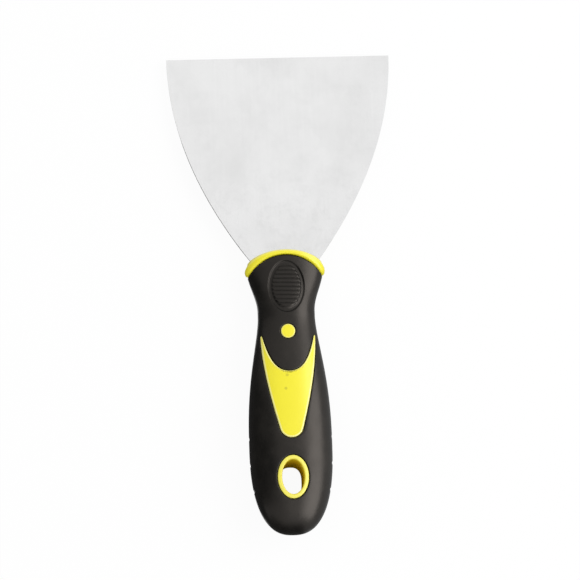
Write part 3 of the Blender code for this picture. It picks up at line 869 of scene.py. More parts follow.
@dataclass(frozen=True)
class GripSleeve:
    """Black sleeve: an outer and an inner skin, joined at the mouth and round the windows.

    The front skin is laid out in bands along the handle. Each band is a ring of points between its
    border and the feature inside it. The rear skin is its mirror image.
    """

    lip: float = 0.40 * MM
    mouth_lip: float = 0.55 * MM
    lip_steps: int = 5
    across: int = 60
    inner_steps: int = 5
    ring_crowd: float = 0.85
    butt_end: float = 12.0 * MM
    butt_steps: int = 30
    butt_inner_steps: int = 12
    bush_band_end: float = 38.0 * MM
    bush_along: int = 84
    bush_steps: int = 22
    tongue_along: int = 120
    tongue_steps: int = 18
    tongue_crowd: float = 1.35
    cap_along: int = 8
    cap_steps: int = 20
    cap_corner: float = math.radians(12)
    cap_dip: float = 80.0 * MM
    cap_dip_rise: float = 11.5 * MM
    cap_dip_reach: float = 11.3 * MM
    cap_band_end: float = 97.2 * MM
    mouth_strip: float = 1.2 * MM
    mouth_steps: int = 3
    pad_width: float = 15.9 * MM
    pad_length: float = 23.1 * MM
    pad_setback: float = 2.7 * MM
    pad_depth: float = 0.6 * MM
    pad_moat: float = 1.2 * MM
    pad_edge_out: float = 0.40 * MM
    pad_edge_in: float = 0.45 * MM
    pad_edge_reach: float = 1.2
    pad_edge_steps: int = 12
    pad_steps: int = 16
    moat_steps: int = 3
    rib_pitch: float = 1.87 * MM
    rib_width: float = 1.4 * MM
    rib_slope: float = 0.4 * MM
    rib_end: float = 0.8 * MM
    rib_groove: float = 0.32 * MM
    rib_count: int = 10
    rib_columns: int = 40
    tail_steps: int = 7
    groove_from_butt: float = 19.6 * MM
    groove_pitch: float = 11.8 * MM
    groove_count: int = 3
    groove_radius: float = 1.2 * MM
    groove_depth: float = 0.4 * MM
    groove_blend: float = 0.12 * MM

    @property
    def angles(self) -> np.ndarray:
        """Angles across the front face, from flank to flank."""
        return np.linspace(-QUARTER, QUARTER, self.across + 1)

    def skin(self, angle: np.ndarray, along: np.ndarray) -> np.ndarray:
        """Points of the form with the finger grooves pressed into its flanks.

        A groove is a round bar across the flank. The flank and the bar are joined by a soft minimum.

        Args:
            angle: Angles round the section.
            along: Distances from the butt.

        Returns:
            Points on the tool, with a last axis of three.
        """
        points = FORM.surface(angle, along)
        for i in range(self.groove_count):
            centre = self.groove_from_butt + i * self.groove_pitch
            middle = FORM.half_width(centre) + self.groove_radius - self.groove_depth
            beside = np.clip(np.abs(points[..., 1] - centre) / self.groove_radius, 0, 1)
            bar = middle - self.groove_radius * np.sqrt(1 - beside ** 2)
            reach = np.abs(points[..., 0])
            share = np.clip(0.5 + (bar - reach) / (2 * self.groove_blend), 0, 1)
            soft = bar + (reach - bar) * share - self.groove_blend * share * (1 - share)
            points[..., 0] = np.where(beside < 1, np.sign(points[..., 0]) * np.minimum(soft, reach),
                                      points[..., 0])
        return points

    def border(self, low: np.ndarray, high: np.ndarray, along: int, crowd: float = 1.0) -> np.ndarray:
        """Closed line round a band, in angle and place.

        Args:
            low: Places of its lower side, one for each angle.
            high: Places of its upper side.
            along: Steps in each flank side.
            crowd: Power that crowds the flank's steps towards the lower side.

        Returns:
            Points counter-clockwise from the lower left corner.
        """
        share = np.linspace(0, 1, along + 1) ** crowd
        bottom = np.stack([self.angles, low], axis=1)
        top = np.stack([self.angles, high], axis=1)[::-1]
        right = np.stack([np.full(along + 1, QUARTER), low[-1] + (high[-1] - low[-1]) * share], axis=1)
        left = np.stack([np.full(along + 1, -QUARTER), low[0] + (high[0] - low[0]) * share], axis=1)
        return four_sides(bottom, right, top, left[::-1])

    def to_angle(self, plan: np.ndarray) -> np.ndarray:
        """Turn plan points into angle and place."""
        return np.stack([FORM.angle(plan[..., 0], plan[..., 1]), plan[..., 1]], axis=-1)

    def ring(self, border: np.ndarray, edge: np.ndarray, distance: float, steps: int) -> np.ndarray:
        """Skin from a border to a distance outside a closed edge; its rows crowd towards the edge.

        Args:
            border: The band's border in angle and place.
            edge: The edge in plan, point for point with the border.
            distance: How far outside the edge the skin ends.
            steps: Steps from the border to there.

        Returns:
            Points shaped (steps + 1, points, 3).
        """
        end = self.to_angle(offset_line(edge, distance))
        fill = between(border, end, np.linspace(0, 1, steps + 1) ** self.ring_crowd)
        return self.skin(fill[..., 0], fill[..., 1])

    def window_band(self, shell: Shell, border: np.ndarray, edge: np.ndarray, ledge: float,
                    steps: int) -> None:
        """Skin between a border and a window: up to its lip, round that, down the wall and back inside.

        Args:
            shell: Takes the grids.
            border: The band's border in angle and place.
            edge: The window's edge in plan, point for point with the border.
            ledge: Lowest height that the wall reaches.
            steps: Steps from the border to the lip.
        """
        out, drop = rounding(self.lip, self.lip_steps)
        lip = on_form(offset_lines(edge, out), drop=drop[:, None])
        back = between(self.to_angle(edge), border, np.linspace(0, 1, self.inner_steps + 1)[1:])
        shell.add_both(np.concatenate([
            self.ring(border, edge, self.lip, steps), lip[1:], on_inner_skin(edge, ledge)[None],
            FORM.surface(back[..., 0], back[..., 1], -FORM.wall)]), around=True)

    def butt(self, shell: Shell) -> None:
        """Round end behind the hanging hole: rings that crowd towards the pole, outside and inside.

        Args:
            shell: Takes the grids.
        """
        outer = FORM.butt_places(self.butt_end, self.butt_steps)[:, None]
        shell.add_both(self.skin(self.angles[None], outer))
        inner = FORM.butt_places(self.butt_end, self.butt_inner_steps, -FORM.wall)[:, None]
        shell.add_both(FORM.surface(self.angles[None], inner, -FORM.wall))

    def dip(self) -> np.ndarray:
        """Line between the cap's band and the inlay's: a parabola across that dips into the notch."""
        return FORM.meet_arch(self.angles, lambda across: (
            self.cap_dip + self.cap_dip_rise * (across / self.cap_dip_reach) ** 2))

    def mouth_places(self) -> np.ndarray:
        """Place of the mouth's edge for each angle."""
        return FORM.meet_arch(self.angles, FORM.mouth_arc)

    def mouth(self, shell: Shell) -> None:
        """Strip along the mouth: round its edge, across its end face and back along the inner skin.

        Args:
            shell: Takes the grids.
        """
        edge = self.mouth_places()[None]
        back, drop = rounding(self.mouth_lip, self.lip_steps)
        strip = np.linspace(self.mouth_strip, self.mouth_lip, self.mouth_steps + 1)
        outer = self.skin(self.angles[None], edge - strip[:, None])
        lip = FORM.surface(self.angles[None], edge - back[:, None], -drop[:, None])
        inner = FORM.surface(self.angles[None], edge - np.array([[0], [self.mouth_strip]]), -FORM.wall)
        shell.add_both(np.concatenate([outer, lip[1:], inner]))

    def rib_rows(self) -> np.ndarray:
        """Places of the rows across the ribbed oval: close together at each rib's two slopes.

        Returns:
            Distances from the oval's centre, in order.
        """
        half = self.rib_width / 2
        slope = self.rib_slope / 2
        one_rib = np.array([-half - slope, -half - slope / 2, -half, -half + slope / 2, -half + slope,
                            0, half - slope, half - slope / 2, half, half + slope / 2, half + slope])
        centres = (np.arange(self.rib_count) - (self.rib_count - 1) / 2) * self.rib_pitch
        ribs = (centres[:, None] + one_rib[None]).ravel()
        end = self.pad_length / 2 - self.pad_moat
        past = math.asin(ribs[-1] / end)
        tail = end * np.sin(np.linspace(past, QUARTER, self.tail_steps + 1)[1:])
        return np.concatenate([-tail[::-1], ribs, tail])

    def pad(self, shell: Shell) -> None:
        """Thumb rest: skin round an oval, a soft edge down into a moat, and ribs across the inner oval.

        A rib's height eases from its groove to the skin over its slope. Ribs and grooves ease down into
        the deeper moat at their ends.

        Args:
            shell: Takes the grids.
        """
        rows = self.rib_rows()
        centre = FORM.length - self.pad_setback - self.pad_length / 2
        inner_half = np.array([self.pad_width, self.pad_length]) / 2 - self.pad_moat
        turn = np.arcsin(np.clip(rows / inner_half[1], -1, 1))
        right = np.stack([np.cos(turn), np.sin(turn)], axis=1)
        ring = np.concatenate([right, (right * (-1, 1))[-2:0:-1]])
        ring = np.roll(ring, self.across // 2, axis=0)
        along = len(rows) - 1 - self.across
        edge = ring * (self.pad_width / 2, self.pad_length / 2) + (0, centre)
        oval = ring * inner_half + (0, centre)
        low = np.full_like(self.angles, self.cap_band_end)
        border = self.border(low, self.mouth_places() - self.mouth_strip, along)
        outward = self.pad_edge_reach * np.linspace(self.pad_edge_out, -self.pad_edge_in,
                                                    self.pad_edge_steps + 1)
        slope = offset_lines(edge, outward[1:])
        level = between(slope[-1], oval, np.linspace(0, 1, self.moat_steps + 1)[1:])
        share = (self.pad_edge_out - outward[1:]) / (self.pad_edge_out + self.pad_edge_in)
        drop = self.pad_depth * np.append(smooth_step(share), np.ones(self.moat_steps))
        shell.add_both(np.concatenate([
            self.ring(border, edge, outward[0], self.pad_steps),
            on_form(np.concatenate([slope, level]), drop=drop[:, None])]), around=True)
        shell.add_both(self.ribs(rows, inner_half, centre))
        inside = filled(border, self.across, along)
        shell.add_both(FORM.surface(inside[..., 0], inside[..., 1], -FORM.wall))

    def ribs(self, rows: np.ndarray, half: np.ndarray, centre: float) -> np.ndarray:
        """Floor and ribs inside the moat.

        Args:
            rows: Places of the rows from the oval's centre.
            half: The oval's half-sizes across and along.
            centre: Place of the oval's centre.

        Returns:
            Points shaped (rows, columns, 3).
        """
        reach = half[0] * np.sqrt(np.clip(1 - (rows / half[1]) ** 2, 0, 1))
        columns = np.sin(np.linspace(-QUARTER, QUARTER, self.rib_columns + 1))
        across = reach[:, None] * columns[None]
        first = -(self.rib_count - 1) / 2 * self.rib_pitch
        nearest = first + self.rib_pitch * np.clip(np.round((rows - first) / self.rib_pitch), 0,
                                                   self.rib_count - 1)
        beside = self.rib_width / 2 - np.abs(rows - nearest)
        rise = smooth_step(0.5 + beside / self.rib_slope)[:, None]
        out = np.sqrt((across / half[0]) ** 2 + (rows[:, None] / half[1]) ** 2)
        ends = smooth_step((1 - out) * half[0] / self.rib_end)
        drop = self.pad_depth + (self.rib_groove * (1 - rise) - self.pad_depth) * ends
        along = np.broadcast_to(centre + rows[:, None], across.shape)
        return on_form(np.stack([across, along], axis=-1), drop=drop)

    def build(self, axes: ToolAxes) -> None:
        """Make the sleeve from its bands and put it in place.

        Args:
            axes: Where the tool lies.
        """
        shell = Shell()
        self.butt(shell)
        level = np.ones_like(self.angles)
        bush = TRIM.bush(self.across, self.bush_along, TRIM.clearance)
        tongue = offset_line(TRIM.tongue(self.across, self.tongue_along), TRIM.clearance)
        reach = TRIM.rivet_head / 2 + TRIM.clearance
        cap = TRIM.oval(reach, reach, TRIM.upper_rivet, self.across, self.cap_along, self.cap_corner)
        border = self.border(self.butt_end * level, self.bush_band_end * level, self.bush_along)
        self.window_band(shell, border, bush, 0.0, self.bush_steps)
        border = self.border(self.bush_band_end * level, self.dip(), self.tongue_along, self.tongue_crowd)
        self.window_band(shell, border, tongue, TRIM.ledge, self.tongue_steps)
        border = self.border(self.dip(), self.cap_band_end * level, self.cap_along)
        self.window_band(shell, border, cap, 0.0, self.cap_steps)
        self.pad(shell)
        self.mouth(shell)
        finish = SoftGrip()
        put_in_place(shell, "grip_sleeve_skin", axes, finish.build(), "grip_sleeve")


@dataclass(frozen=True)
class Inlay:
    """Yellow tongue with two horns, set in a window of the grip."""

    rim: float = 0.5 * MM
    rim_steps: int = 5
    tip_rim: float = 0.3
    tip_reach: float = 6.0 * MM
    # Width of the painted highlight band, in rim radii.
    highlight_reach: float = 1.7
    across: int = 60
    along: int = 120

    def build(self, axes: ToolAxes, face: Face, material: bpy.types.Material) -> None:
        """Make the inlay of one face: a top that follows the handle, a rounded rim, a wall and a base.

        The rim narrows to a share of itself at the horns' tips. A band of painted highlight, a paler
        colour, reaches inwards from the wall by a multiple of the rim's radius.

        Args:
            axes: Where the tool lies.
            face: The face that it is in.
            material: Its finish.
        """
        line = TRIM.tongue(self.across, self.along)
        to_tip = (TRIM.upper_rivet - TRIM.horn_behind_rivet - line[:, 1]) / self.tip_reach
        rim = self.rim * (self.tip_rim + (1 - self.tip_rim) * smooth_step(to_tip))
        inward, drop = rounding(1.0, self.rim_steps)
        inward, drop = np.append(self.highlight_reach, inward), np.append(0, drop)
        rings = on_form(offset_lines(line, -np.outer(inward, rim)), TRIM.proud, np.outer(drop, rim))
        seat = TRIM.ledge + TRIM.clearance
        # Painted highlight: rises from the band's inner edge to full on the rounded rim and the wall.
        highlight_share = np.append(np.minimum(np.arange(len(rings)), 1), 1)
        shell = Shell()
        shell.add(np.concatenate([rings, on_inner_skin(line, seat)[None]]), around=True,
                  rim=highlight_share[:, None])
        shell.add(on_form(filled(rings[0][:, :2], self.across, self.along), TRIM.proud))
        shell.add(on_inner_skin(filled(line, self.across, self.along), seat))
        put_on_face(shell, "inlay", axes, face, material)


@dataclass(frozen=True)
class RivetCap:
    """Round yellow cap over a head of the upper rivet."""

    rim: float = 0.5 * MM
    crown: float = 0.12 * MM
    around: int = 96
    flat_steps: int = 9
    rim_steps: int = 6
    # Share of the radius where the painted highlight on the rim begins.
    highlight_from: float = 0.8

    def build(self, axes: ToolAxes, face: Face, material: bpy.types.Material) -> None:
        """Turn a profile: a low crown that falls with the square of the radius, a rounded rim and a wall.

        Args:
            axes: Where the tool lies.
            face: The face that it is in.
            material: Its finish.
        """
        radius = TRIM.rivet_head / 2
        top = FORM.half_thickness(TRIM.upper_rivet) + TRIM.proud
        flat = np.linspace(0, radius - self.rim, self.flat_steps + 1)
        inward, drop = rounding(self.rim, self.rim_steps)
        reach = np.concatenate([flat, radius - inward[1:], [radius, 0]])
        fall = self.crown * np.minimum(reach / (radius - self.rim), 1) ** 2
        height = np.concatenate([np.full_like(flat, top), top - drop[1:], [TRIM.over_rivet] * 2])
        height[:-2] -= fall[:-2]
        # Painted highlight: paler towards and over the rounded rim.
        highlight_share = smooth_step((reach / radius - self.highlight_from) / (1 - self.highlight_from))
        turn = np.linspace(0, 2 * math.pi, self.around, endpoint=False)
        shell = Shell()
        shell.add(np.stack(np.broadcast_arrays(
            reach[:, None] * np.cos(turn), TRIM.upper_rivet + reach[:, None] * np.sin(turn),
            height[:, None]), axis=-1), around=True, rim=highlight_share[:, None])
        put_on_face(shell, "rivet_cap", axes, face, material)


@dataclass(frozen=True)
class HangBush:
    """Yellow oval tube that lines the hanging hole from face to face.

    Its bore is an oval in front. Towards the rear it gets squarer, and shorter at the blade's end.
    """

    outer_rim: float = 0.35 * MM
    inner_rim: float = 0.6 * MM
    outer_steps: int = 5
    inner_steps: int = 6
    swell: float = 0.2 * MM
    swell_from: float = 1.0 * MM
    swell_to: float = 1.8 * MM
    # Strength of the painted highlight on the rims.
    highlight_strength: float = 0.35
    rear_power: float = 2.6
    rear_shorter: float = 1.1 * MM
    across: int = 40
    along: int = 40

    def bore(self, face: Face) -> np.ndarray:
        """Outline of the bore at a face: an ellipse in front, a superellipse with a shorter end behind.

        Args:
            face: The face.

        Returns:
            A closed line.
        """
        oval = TRIM.bush(self.across, self.along, -TRIM.bush_wall)
        if face is Face.FRONT:
            return oval
        centre = np.array([0, TRIM.bush_from_butt])
        half = np.array([TRIM.bush_width, TRIM.bush_length]) / 2 - TRIM.bush_wall
        unit = (oval - centre) / half
        square = np.sign(unit) * np.abs(unit) ** (2 / self.rear_power) * half
        square[:, 1] -= self.rear_shorter * np.clip(square[:, 1] / half[1], 0, 1)
        return centre + square

    def build(self, axes: ToolAxes, material: bpy.types.Material) -> None:
        """Carry a profile round each half: up the outer wall, over two rounded rims and down the bore.

        The top of the profile follows the handle's form, standing a little proud of it. The outer wall
        swells below the grip's lip, so that no light comes through between them. The two halves meet
        halfway down the bore, on the mean of its two outlines.

        Args:
            axes: Where the tool lies.
            material: Its finish.
        """
        line = TRIM.bush(self.across, self.along)
        out_in, out_drop = rounding(self.outer_rim, self.outer_steps)
        bore_in, bore_drop = rounding(self.inner_rim, self.inner_steps)
        outside = offset_lines(line, -np.append([-self.swell, -self.swell, 0], out_in[::-1]))
        halfway = (self.bore(Face.FRONT) + self.bore(Face.REAR)) / 2
        drop = np.concatenate([[0, self.swell_to, self.swell_from], out_drop[::-1], bore_drop, [0]])
        depth = np.zeros((len(drop), 1))
        depth[len(outside):, 0] = np.append(np.linspace(0, 1, len(bore_in)), 1)
        shell = Shell()
        for face in Face:
            rings = np.concatenate([outside, offset_lines(self.bore(face), bore_in), halfway[None]])
            half = on_form(rings, TRIM.proud, drop[:, None])
            half[[0, -1], :, 2] = 0
            # Painted shade deepens down the bore; painted highlight fades from the rims down into it.
            shell.add(half * (1, 1, face.value), around=True, shelter=depth,
                      rim=self.highlight_strength * (1 - depth))
        put_in_place(shell, "hang_bush_moulding", axes, material, "hang_bush")


@dataclass(frozen=True)
class Blade:
    """Flared sheet of spring steel with a tang, ground down to its working edge."""

    width: float = 100.0 * MM
    root_width: float = 36.6 * MM
    exposed: float = 88.2 * MM
    thickness: float = 1.0 * MM
    edge_thickness: float = 0.6 * MM
    grind_setback: float = 7.0 * MM
    tang_width: float = 13.0 * MM
    tang_end: float = 49.05 * MM
    shoulder: float = 108.0 * MM
    collar_front: float = 126.8 * MM
    corner: float = 0.18 * MM
    corner_steps: int = 4
    tang_rows: int = 30
    blade_rows: int = 150
    columns: int = 33
    piece: str = "blade_sheet"

    @property
    def edge(self) -> float:
        """Place of the working edge."""
        return self.collar_front + self.exposed

    def half_width(self, along: Numbers) -> Numbers:
        """Half-width: a parabola from the working edge, never narrower than the tang."""
        narrowing = (self.width - self.root_width) / 2 / self.exposed ** 2
        return np.maximum(self.width / 2 - narrowing * (self.edge - along) ** 2, self.tang_width / 2)

    def half_thickness(self, along: np.ndarray) -> np.ndarray:
        """Half-thickness: even up to the start of the grind, then falling evenly to the edge.

        Args:
            along: Distances from the butt.

        Returns:
            Half-thicknesses at those distances.
        """
        start = self.collar_front + self.grind_setback
        share = np.clip((along - start) / (self.edge - start), 0, 1)
        return (self.thickness + (self.edge_thickness - self.thickness) * share) / 2

    def build(self, axes: ToolAxes) -> None:
        """Carry a flat section with rounded corners from the tang to the edge, and round both ends off.

        The columns crowd towards the sides, so that the flat faces stay flat right up to the rounding.

        Args:
            axes: Where the tool lies.
        """
        out, drop = rounding(self.corner, self.corner_steps)
        margin = 2 * self.corner
        rows = np.concatenate([np.linspace(self.tang_end + margin, self.shoulder, self.tang_rows)[:-1],
                               np.linspace(self.shoulder, self.edge - margin, self.blade_rows)])
        along = np.concatenate([self.tang_end + out[::-1], rows, self.edge - out])[:, None]
        end_drop = np.concatenate([drop[::-1], np.zeros_like(rows), drop])[:, None]
        half = self.half_width(along)
        inner = np.sin(np.linspace(-QUARTER, QUARTER, self.columns))[1:-1]
        flat = (half - self.corner) * inner[None]
        thick = self.half_thickness(along) - end_drop
        side = half - out[None]
        edge_out = np.maximum(thick - drop[None], 0)
        level = np.zeros_like(along)
        across = np.concatenate([-half, -side[:, ::-1], flat, side, half], axis=1)
        out_of_plane = np.concatenate([level, edge_out[:, ::-1], np.broadcast_to(thick, flat.shape),
                                       edge_out, level], axis=1)
        sheet = np.stack([across, np.broadcast_to(along, across.shape), out_of_plane], axis=-1)
        first, last = sheet[:1] * (1, 1, 0), sheet[-1:] * (1, 1, 0)
        shell = Shell()
        shell.add_both(np.concatenate([first, sheet, last]))
        finish = BladeSteel()
        put_in_place(shell, self.piece, axes, finish.build(), "blade")


@dataclass(frozen=True)
class Collar:
    """Yellow collar round the root of the blade: a rounded bead in front of a skirt inside the grip."""

    blade: Blade
    width: float = 36.2 * MM
    arch: float = 9.0 * MM
    proud: float = 0.8 * MM
    joint: float = 0.25 * MM
    joint_depth: float = 0.3 * MM
    skirt_length: float = 17.0 * MM
    slot_height: float = 0.65 * MM
    slot_setback: float = 1.0 * MM
    bead_power: float = 3.0
    # Painted highlight on the front part of the bead: its strength, where it starts and how far it rises.
    highlight_strength: float = 0.6
    highlight_from: float = 0.5
    highlight_over: float = 1 / 3
    around: int = 240
    bead_steps: int = 20
    wall_steps: int = 6
    slot_steps: int = 4
    slot_rounds: int = 60

    def front_arch(self, across: Numbers) -> Numbers:
        """Place of the front wall: half an ellipse across the tool."""
        share = np.clip(across / (self.width / 2), -1, 1)
        return self.blade.collar_front - self.arch + self.arch * np.sqrt(1 - share ** 2)

    def build(self, axes: ToolAxes, material: bpy.types.Material) -> None:
        """Carry a closed profile round the section: skirt, joint, bead, front wall and blade slot.

        The bead rises as a flattened half circle between the joint and the front wall. The front wall
        stays on the arch while it closes in on the slot, and the slot follows the blade to the back.

        Args:
            axes: Where the tool lies.
            material: Its finish.
        """
        angle = np.linspace(0, 2 * math.pi, self.around, endpoint=False)
        back = FORM.meet_arch(angle, FORM.mouth_arc) + self.joint
        front = FORM.meet_arch(angle, self.front_arch, self.proud)
        share = 0.5 - 0.5 * np.cos(np.linspace(0, math.pi, self.bead_steps + 1))[:, None]
        rise = np.sqrt(1 - np.abs(2 * share - 1) ** self.bead_power)
        grown = (self.proud + self.joint_depth) * rise - self.joint_depth
        bead = FORM.surface(angle[None], back + (front - back) * share, grown)
        skirt_grown = -FORM.wall - TRIM.clearance
        skirt_back = FORM.length - self.skirt_length
        skirt = np.stack([FORM.surface(angle, np.full_like(angle, skirt_back), skirt_grown),
                          FORM.surface(angle, back, skirt_grown)])
        slot_end = 0.0
        for _ in range(self.slot_rounds):
            slot_end = self.blade.half_width(self.front_arch(slot_end)) + TRIM.clearance
        edge = bead[-1]
        slot_x = np.clip(edge[:, 0], -slot_end, slot_end)
        slot_z = np.clip(edge[:, 2], -self.slot_height, self.slot_height)
        down = np.linspace(0, 1, self.wall_steps + 1)[1:, None]
        wall_x = edge[:, 0] + (slot_x - edge[:, 0]) * down
        wall_z = edge[:, 2] + (slot_z - edge[:, 2]) * down
        wall = np.stack([wall_x, self.front_arch(wall_x), wall_z], axis=-1)
        slot_front = wall[-1, :, 1].min() - self.slot_setback
        inside = np.linspace(slot_front, skirt_back, self.slot_steps + 1)[:, None]
        limit = self.blade.half_width(inside) + TRIM.clearance
        slot = np.stack(np.broadcast_arrays(np.clip(slot_x, -limit, limit), inside, slot_z), axis=-1)
        shell = Shell()
        grid = np.concatenate([skirt, bead, wall, slot, skirt[:1]])
        # Painted highlight: the front part of the bead is paler.
        highlight_share = np.zeros((len(grid), 1))
        highlight_share[len(skirt):len(skirt) + len(bead)] = self.highlight_strength * smooth_step(
            (share - self.highlight_from) / self.highlight_over)
        shell.add(grid, around=True, rim=highlight_share)
        put_in_place(shell, "collar_moulding", axes, material, "collar")


def dress_hidden_pieces() -> None:
    """Give the core halves and the rivets inside the handle their finishes; their solids stay."""
    for finish, names in ((CORE_PLASTIC, ("core_front", "core_rear")),
                          (RivetSteel(), ("rivet_upper", "rivet_lower"))):
        material = finish.build()
        for name in names:
            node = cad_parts[name]
            node.material_slots[0].material = material
            LOG.info("%s: solid kept, finish %s", name, material.name)


class LightUse(Enum):
    """What a light is for: shading and shadows, or the reflections in the surfaces."""

    SHADING = "shading"
    REFLECTION = "reflection"


@dataclass(frozen=True)
class SoftLight:
    """Flat white light that faces the tool."""

    name: str
    use: LightUse
    place: tuple[float, float, float]
    size: tuple[float, float]
    radiance: float
    spares: str = ""

    def build(self) -> None:
        """Make the light; an even flat light's power is its radiance times pi times its area.

        A piece that it spares doesn't take its light.
        """
        data = bpy.data.lights.new(self.name, "AREA")
        data.shape = "RECTANGLE"
        data.size, data.size_y = self.size
        data.energy = self.radiance * math.pi * self.size[0] * self.size[1]
        lamp = new_object(self.name, data)
        lamp.location = self.place
        lamp.rotation_euler = Vector(self.place).to_track_quat("Z", "Y").to_euler()
        lamp.visible_diffuse = self.use is LightUse.SHADING
        lamp.visible_glossy = self.use is LightUse.REFLECTION
        if self.spares:
            spared = bpy.data.collections.new(f"{self.name}_spares")
            spared.objects.link(bpy.data.objects[self.spares])
            lamp.light_linking.receiver_collection = spared
            spared.collection_objects[0].light_linking.link_state = "EXCLUDE"


def put_on_stage(name: str, points: list[tuple[float, float, float]], faces: list[tuple[int, ...]],
                 material: bpy.types.Material) -> bpy.types.Object:
    """Make a thing of the studio, which is no part of the tool.

    Args:
        name: Name of the thing.
        points: Its corners.
        faces: Numbers of the corners of each face.
        material: Its finish.

    Returns:
        The thing.
    """
    mesh = bpy.data.meshes.new(name)
    mesh.from_pydata(points, [], faces)
    mesh.materials.append(material)
    thing = new_object(name, mesh)
    return thing


@dataclass(frozen=True)
class Card:
    """Grey card that only reflections show, so that what faces it mirrors it and not the white table.

    It is a strip that is folded along each of its rows. A row is the two ends of its line.
    """

    name: str
    rows: tuple[tuple[tuple[float, float, float], tuple[float, float, float]], ...]
    colour: str = "5A5A5A"

    def build(self) -> None:
        """Make the card from row to row."""
        material, tree, shader = empty_material("grey_matt_card")
        set_inputs(tree, shader, {"Base Color": linear(self.colour), "Roughness": 1.0})
        card = put_on_stage(self.name, [point for row in self.rows for point in row],
                            [(i, i + 1, i + 3, i + 2) for i in range(0, 2 * len(self.rows) - 2, 2)],
                            material)
        card.visible_camera = card.visible_diffuse = card.visible_shadow = False


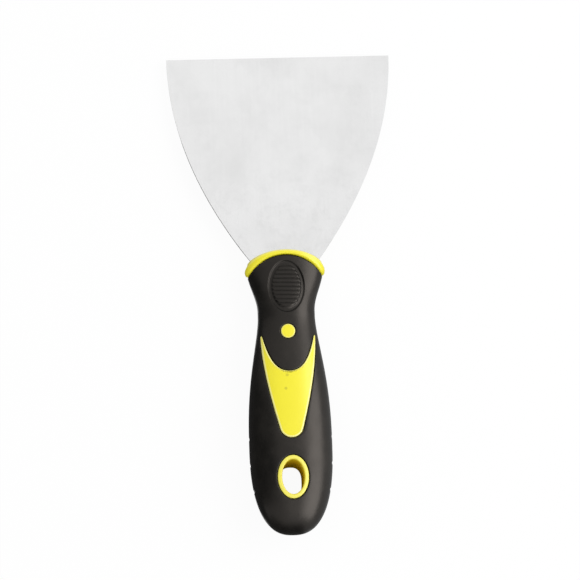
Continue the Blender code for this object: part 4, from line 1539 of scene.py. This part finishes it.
@dataclass(frozen=True)
class Studio:
    """Plain white table seen from above, with soft light from the right and cards round the handle."""

    view_distance: float = 2.0
    view_tilt: float = math.radians(-8.438)
    view_turn: float = math.radians(3.682)
    view_roll: float = math.radians(1.438)
    aim: tuple[float, float, float] = (2.077 * MM, 109.565 * MM, 0.0)
    pixels_per_metre: float = 2244.35
    image_width: int = 580
    sensor_width: float = 36.0
    floor_half: float = 3.0
    floor_colour: str = "F8F8F8"
    floor_shade: str = "B8B8B8"
    floor_glow: float = 0.94
    sky_strength: float = 0.75
    lights: tuple[SoftLight, ...] = (
        SoftLight("key_light", LightUse.SHADING, (0.72, 0.17, 0.72), (0.8, 0.66), 2.95),
        SoftLight("window_light", LightUse.REFLECTION, (0.70, -0.20, 0.77), (1.3, 0.82), 4.6,
                  Blade.piece))
    cards: tuple[Card, ...] = (
        Card("left_card", (
            ((-0.019, -0.19, CARD_LIFT), (-0.019, 0.07, CARD_LIFT)),
            ((-0.28, -0.19, CARD_LIFT), (-0.28, 0.07, CARD_LIFT)),
            ((-0.18, -0.19, 0.6), (-0.18, 0.07, 0.6)))),
        Card("near_card", (
            ((-0.15, -0.106, CARD_LIFT), (0.005, -0.106, CARD_LIFT)),
            ((-0.15, -0.2, CARD_LIFT), (0.04, -0.2, CARD_LIFT)),
            ((-0.15, -0.2, 0.09), (0.04, -0.2, 0.09)))),
        Card("right_card", (
            ((0.04, -0.2, CARD_LIFT), (0.005, -0.106, CARD_LIFT)),
            ((0.045, -0.2, CARD_LIFT), (0.019, 0.02, CARD_LIFT)),
            ((0.07, -0.2, CARD_LIFT), (0.07, 0.02, CARD_LIFT))), "C6C6C6"))

    def camera(self, axes: ToolAxes) -> None:
        """Look at the tool from over its handle: tilt, turn and roll about the aim point.

        Args:
            axes: Where the tool lies.
        """
        turn = (Matrix.Rotation(self.view_roll, 3, "Z") @ Matrix.Rotation(self.view_turn, 3, "Y")
                @ Matrix.Rotation(self.view_tilt, 3, "X"))
        rows = np.array(turn) @ axes.matrix()
        place = axes.to_frame(np.array(self.aim)) + self.view_distance * rows[2]
        data = bpy.data.cameras.new("camera")
        data.sensor_width = self.sensor_width
        focal_pixels = self.pixels_per_metre * self.view_distance
        data.lens = self.sensor_width * focal_pixels / self.image_width
        camera = new_object("camera", data)
        camera.matrix_world = Matrix.Translation(place) @ Matrix(rows.T.tolist()).to_4x4()
        bpy.context.scene.camera = camera

    def share_seen(self, tree: bpy.types.NodeTree, otherwise: float) -> bpy.types.NodeSocket:
        """Value that is 1 for a ray from the camera, straight or by way of a mirror or glass.

        Args:
            tree: The node tree.
            otherwise: Value for any other ray.

        Returns:
            The socket with the value.
        """
        value = otherwise
        ray = add_node(tree, "ShaderNodeLightPath").outputs
        for kind in ("Is Camera Ray", "Is Glossy Ray", "Is Transmission Ray"):
            value = add_node(tree, "ShaderNodeMath", {0: ray[kind], 1: value},
                             operation="MAXIMUM").outputs[0]
        return value

    def floor(self) -> None:
        """Grey table top that is white where the camera sees it, and still takes the tool's shadow."""
        material, tree, shader = empty_material("white_matt_laminate")
        set_inputs(tree, shader, {"Base Color": linear(self.floor_shade), "Roughness": 1.0,
                                  "Specular IOR Level": 0.0})
        paper = add_node(tree, "ShaderNodeBsdfDiffuse", {"Color": linear(self.floor_colour)})
        glow = add_node(tree, "ShaderNodeEmission", {"Color": (1, 1, 1, 1), "Strength": 1.0})
        white = add_node(tree, "ShaderNodeMixShader", {
            0: self.floor_glow, 1: paper.outputs[0], 2: glow.outputs[0]})
        mixed = add_node(tree, "ShaderNodeMixShader", {
            0: self.share_seen(tree, 0.0), 1: shader.outputs[0], 2: white.outputs[0]})
        set_inputs(tree, tree.nodes["Material Output"], {"Surface": mixed.outputs[0]})
        half = self.floor_half
        corners = [(-half, -half, 0), (half, -half, 0), (half, half, 0), (-half, half, 0)]
        put_on_stage("table_top", corners, [(0, 1, 2, 3)], material)

    def light(self) -> None:
        """White sky that is dimmer as a light than it looks, soft lights on the right, and the cards."""
        world = bpy.data.worlds.new("white_studio")
        world.use_nodes = True
        tree = world.node_tree
        set_inputs(tree, tree.nodes["Background"], {
            "Color": (1, 1, 1, 1), "Strength": self.share_seen(tree, self.sky_strength)})
        bpy.context.scene.world = world
        for thing in self.lights + self.cards:
            thing.build()

    def build(self, axes: ToolAxes) -> None:
        """Set up the camera, the table, the light and plain colours.

        Args:
            axes: Where the tool lies.
        """
        self.camera(axes)
        self.floor()
        self.light()
        bpy.context.scene.view_settings.view_transform = "Standard"


def main() -> None:
    """Build every piece in order and set up the studio."""
    logging.basicConfig(level=logging.INFO, format="%(name)s: %(message)s")
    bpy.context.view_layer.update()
    axes = ToolAxes.from_rivets(TRIM.lower_rivet)
    blade = Blade()
    blade.build(axes)
    specks = on_form(np.array(TONGUE_SPECKS) * MM, TRIM.proud)
    yellow = YELLOW_TRIM.build(axes.to_frame(specks))
    Collar(blade).build(axes, yellow)
    GripSleeve().build(axes)
    HangBush().build(axes, yellow)
    for face in Face:
        Inlay().build(axes, face, yellow)
        RivetCap().build(axes, face, yellow)
    dress_hidden_pieces()
    Studio().build(axes)
    bpy.context.view_layer.update()


if __name__ == "__main__":
    main()
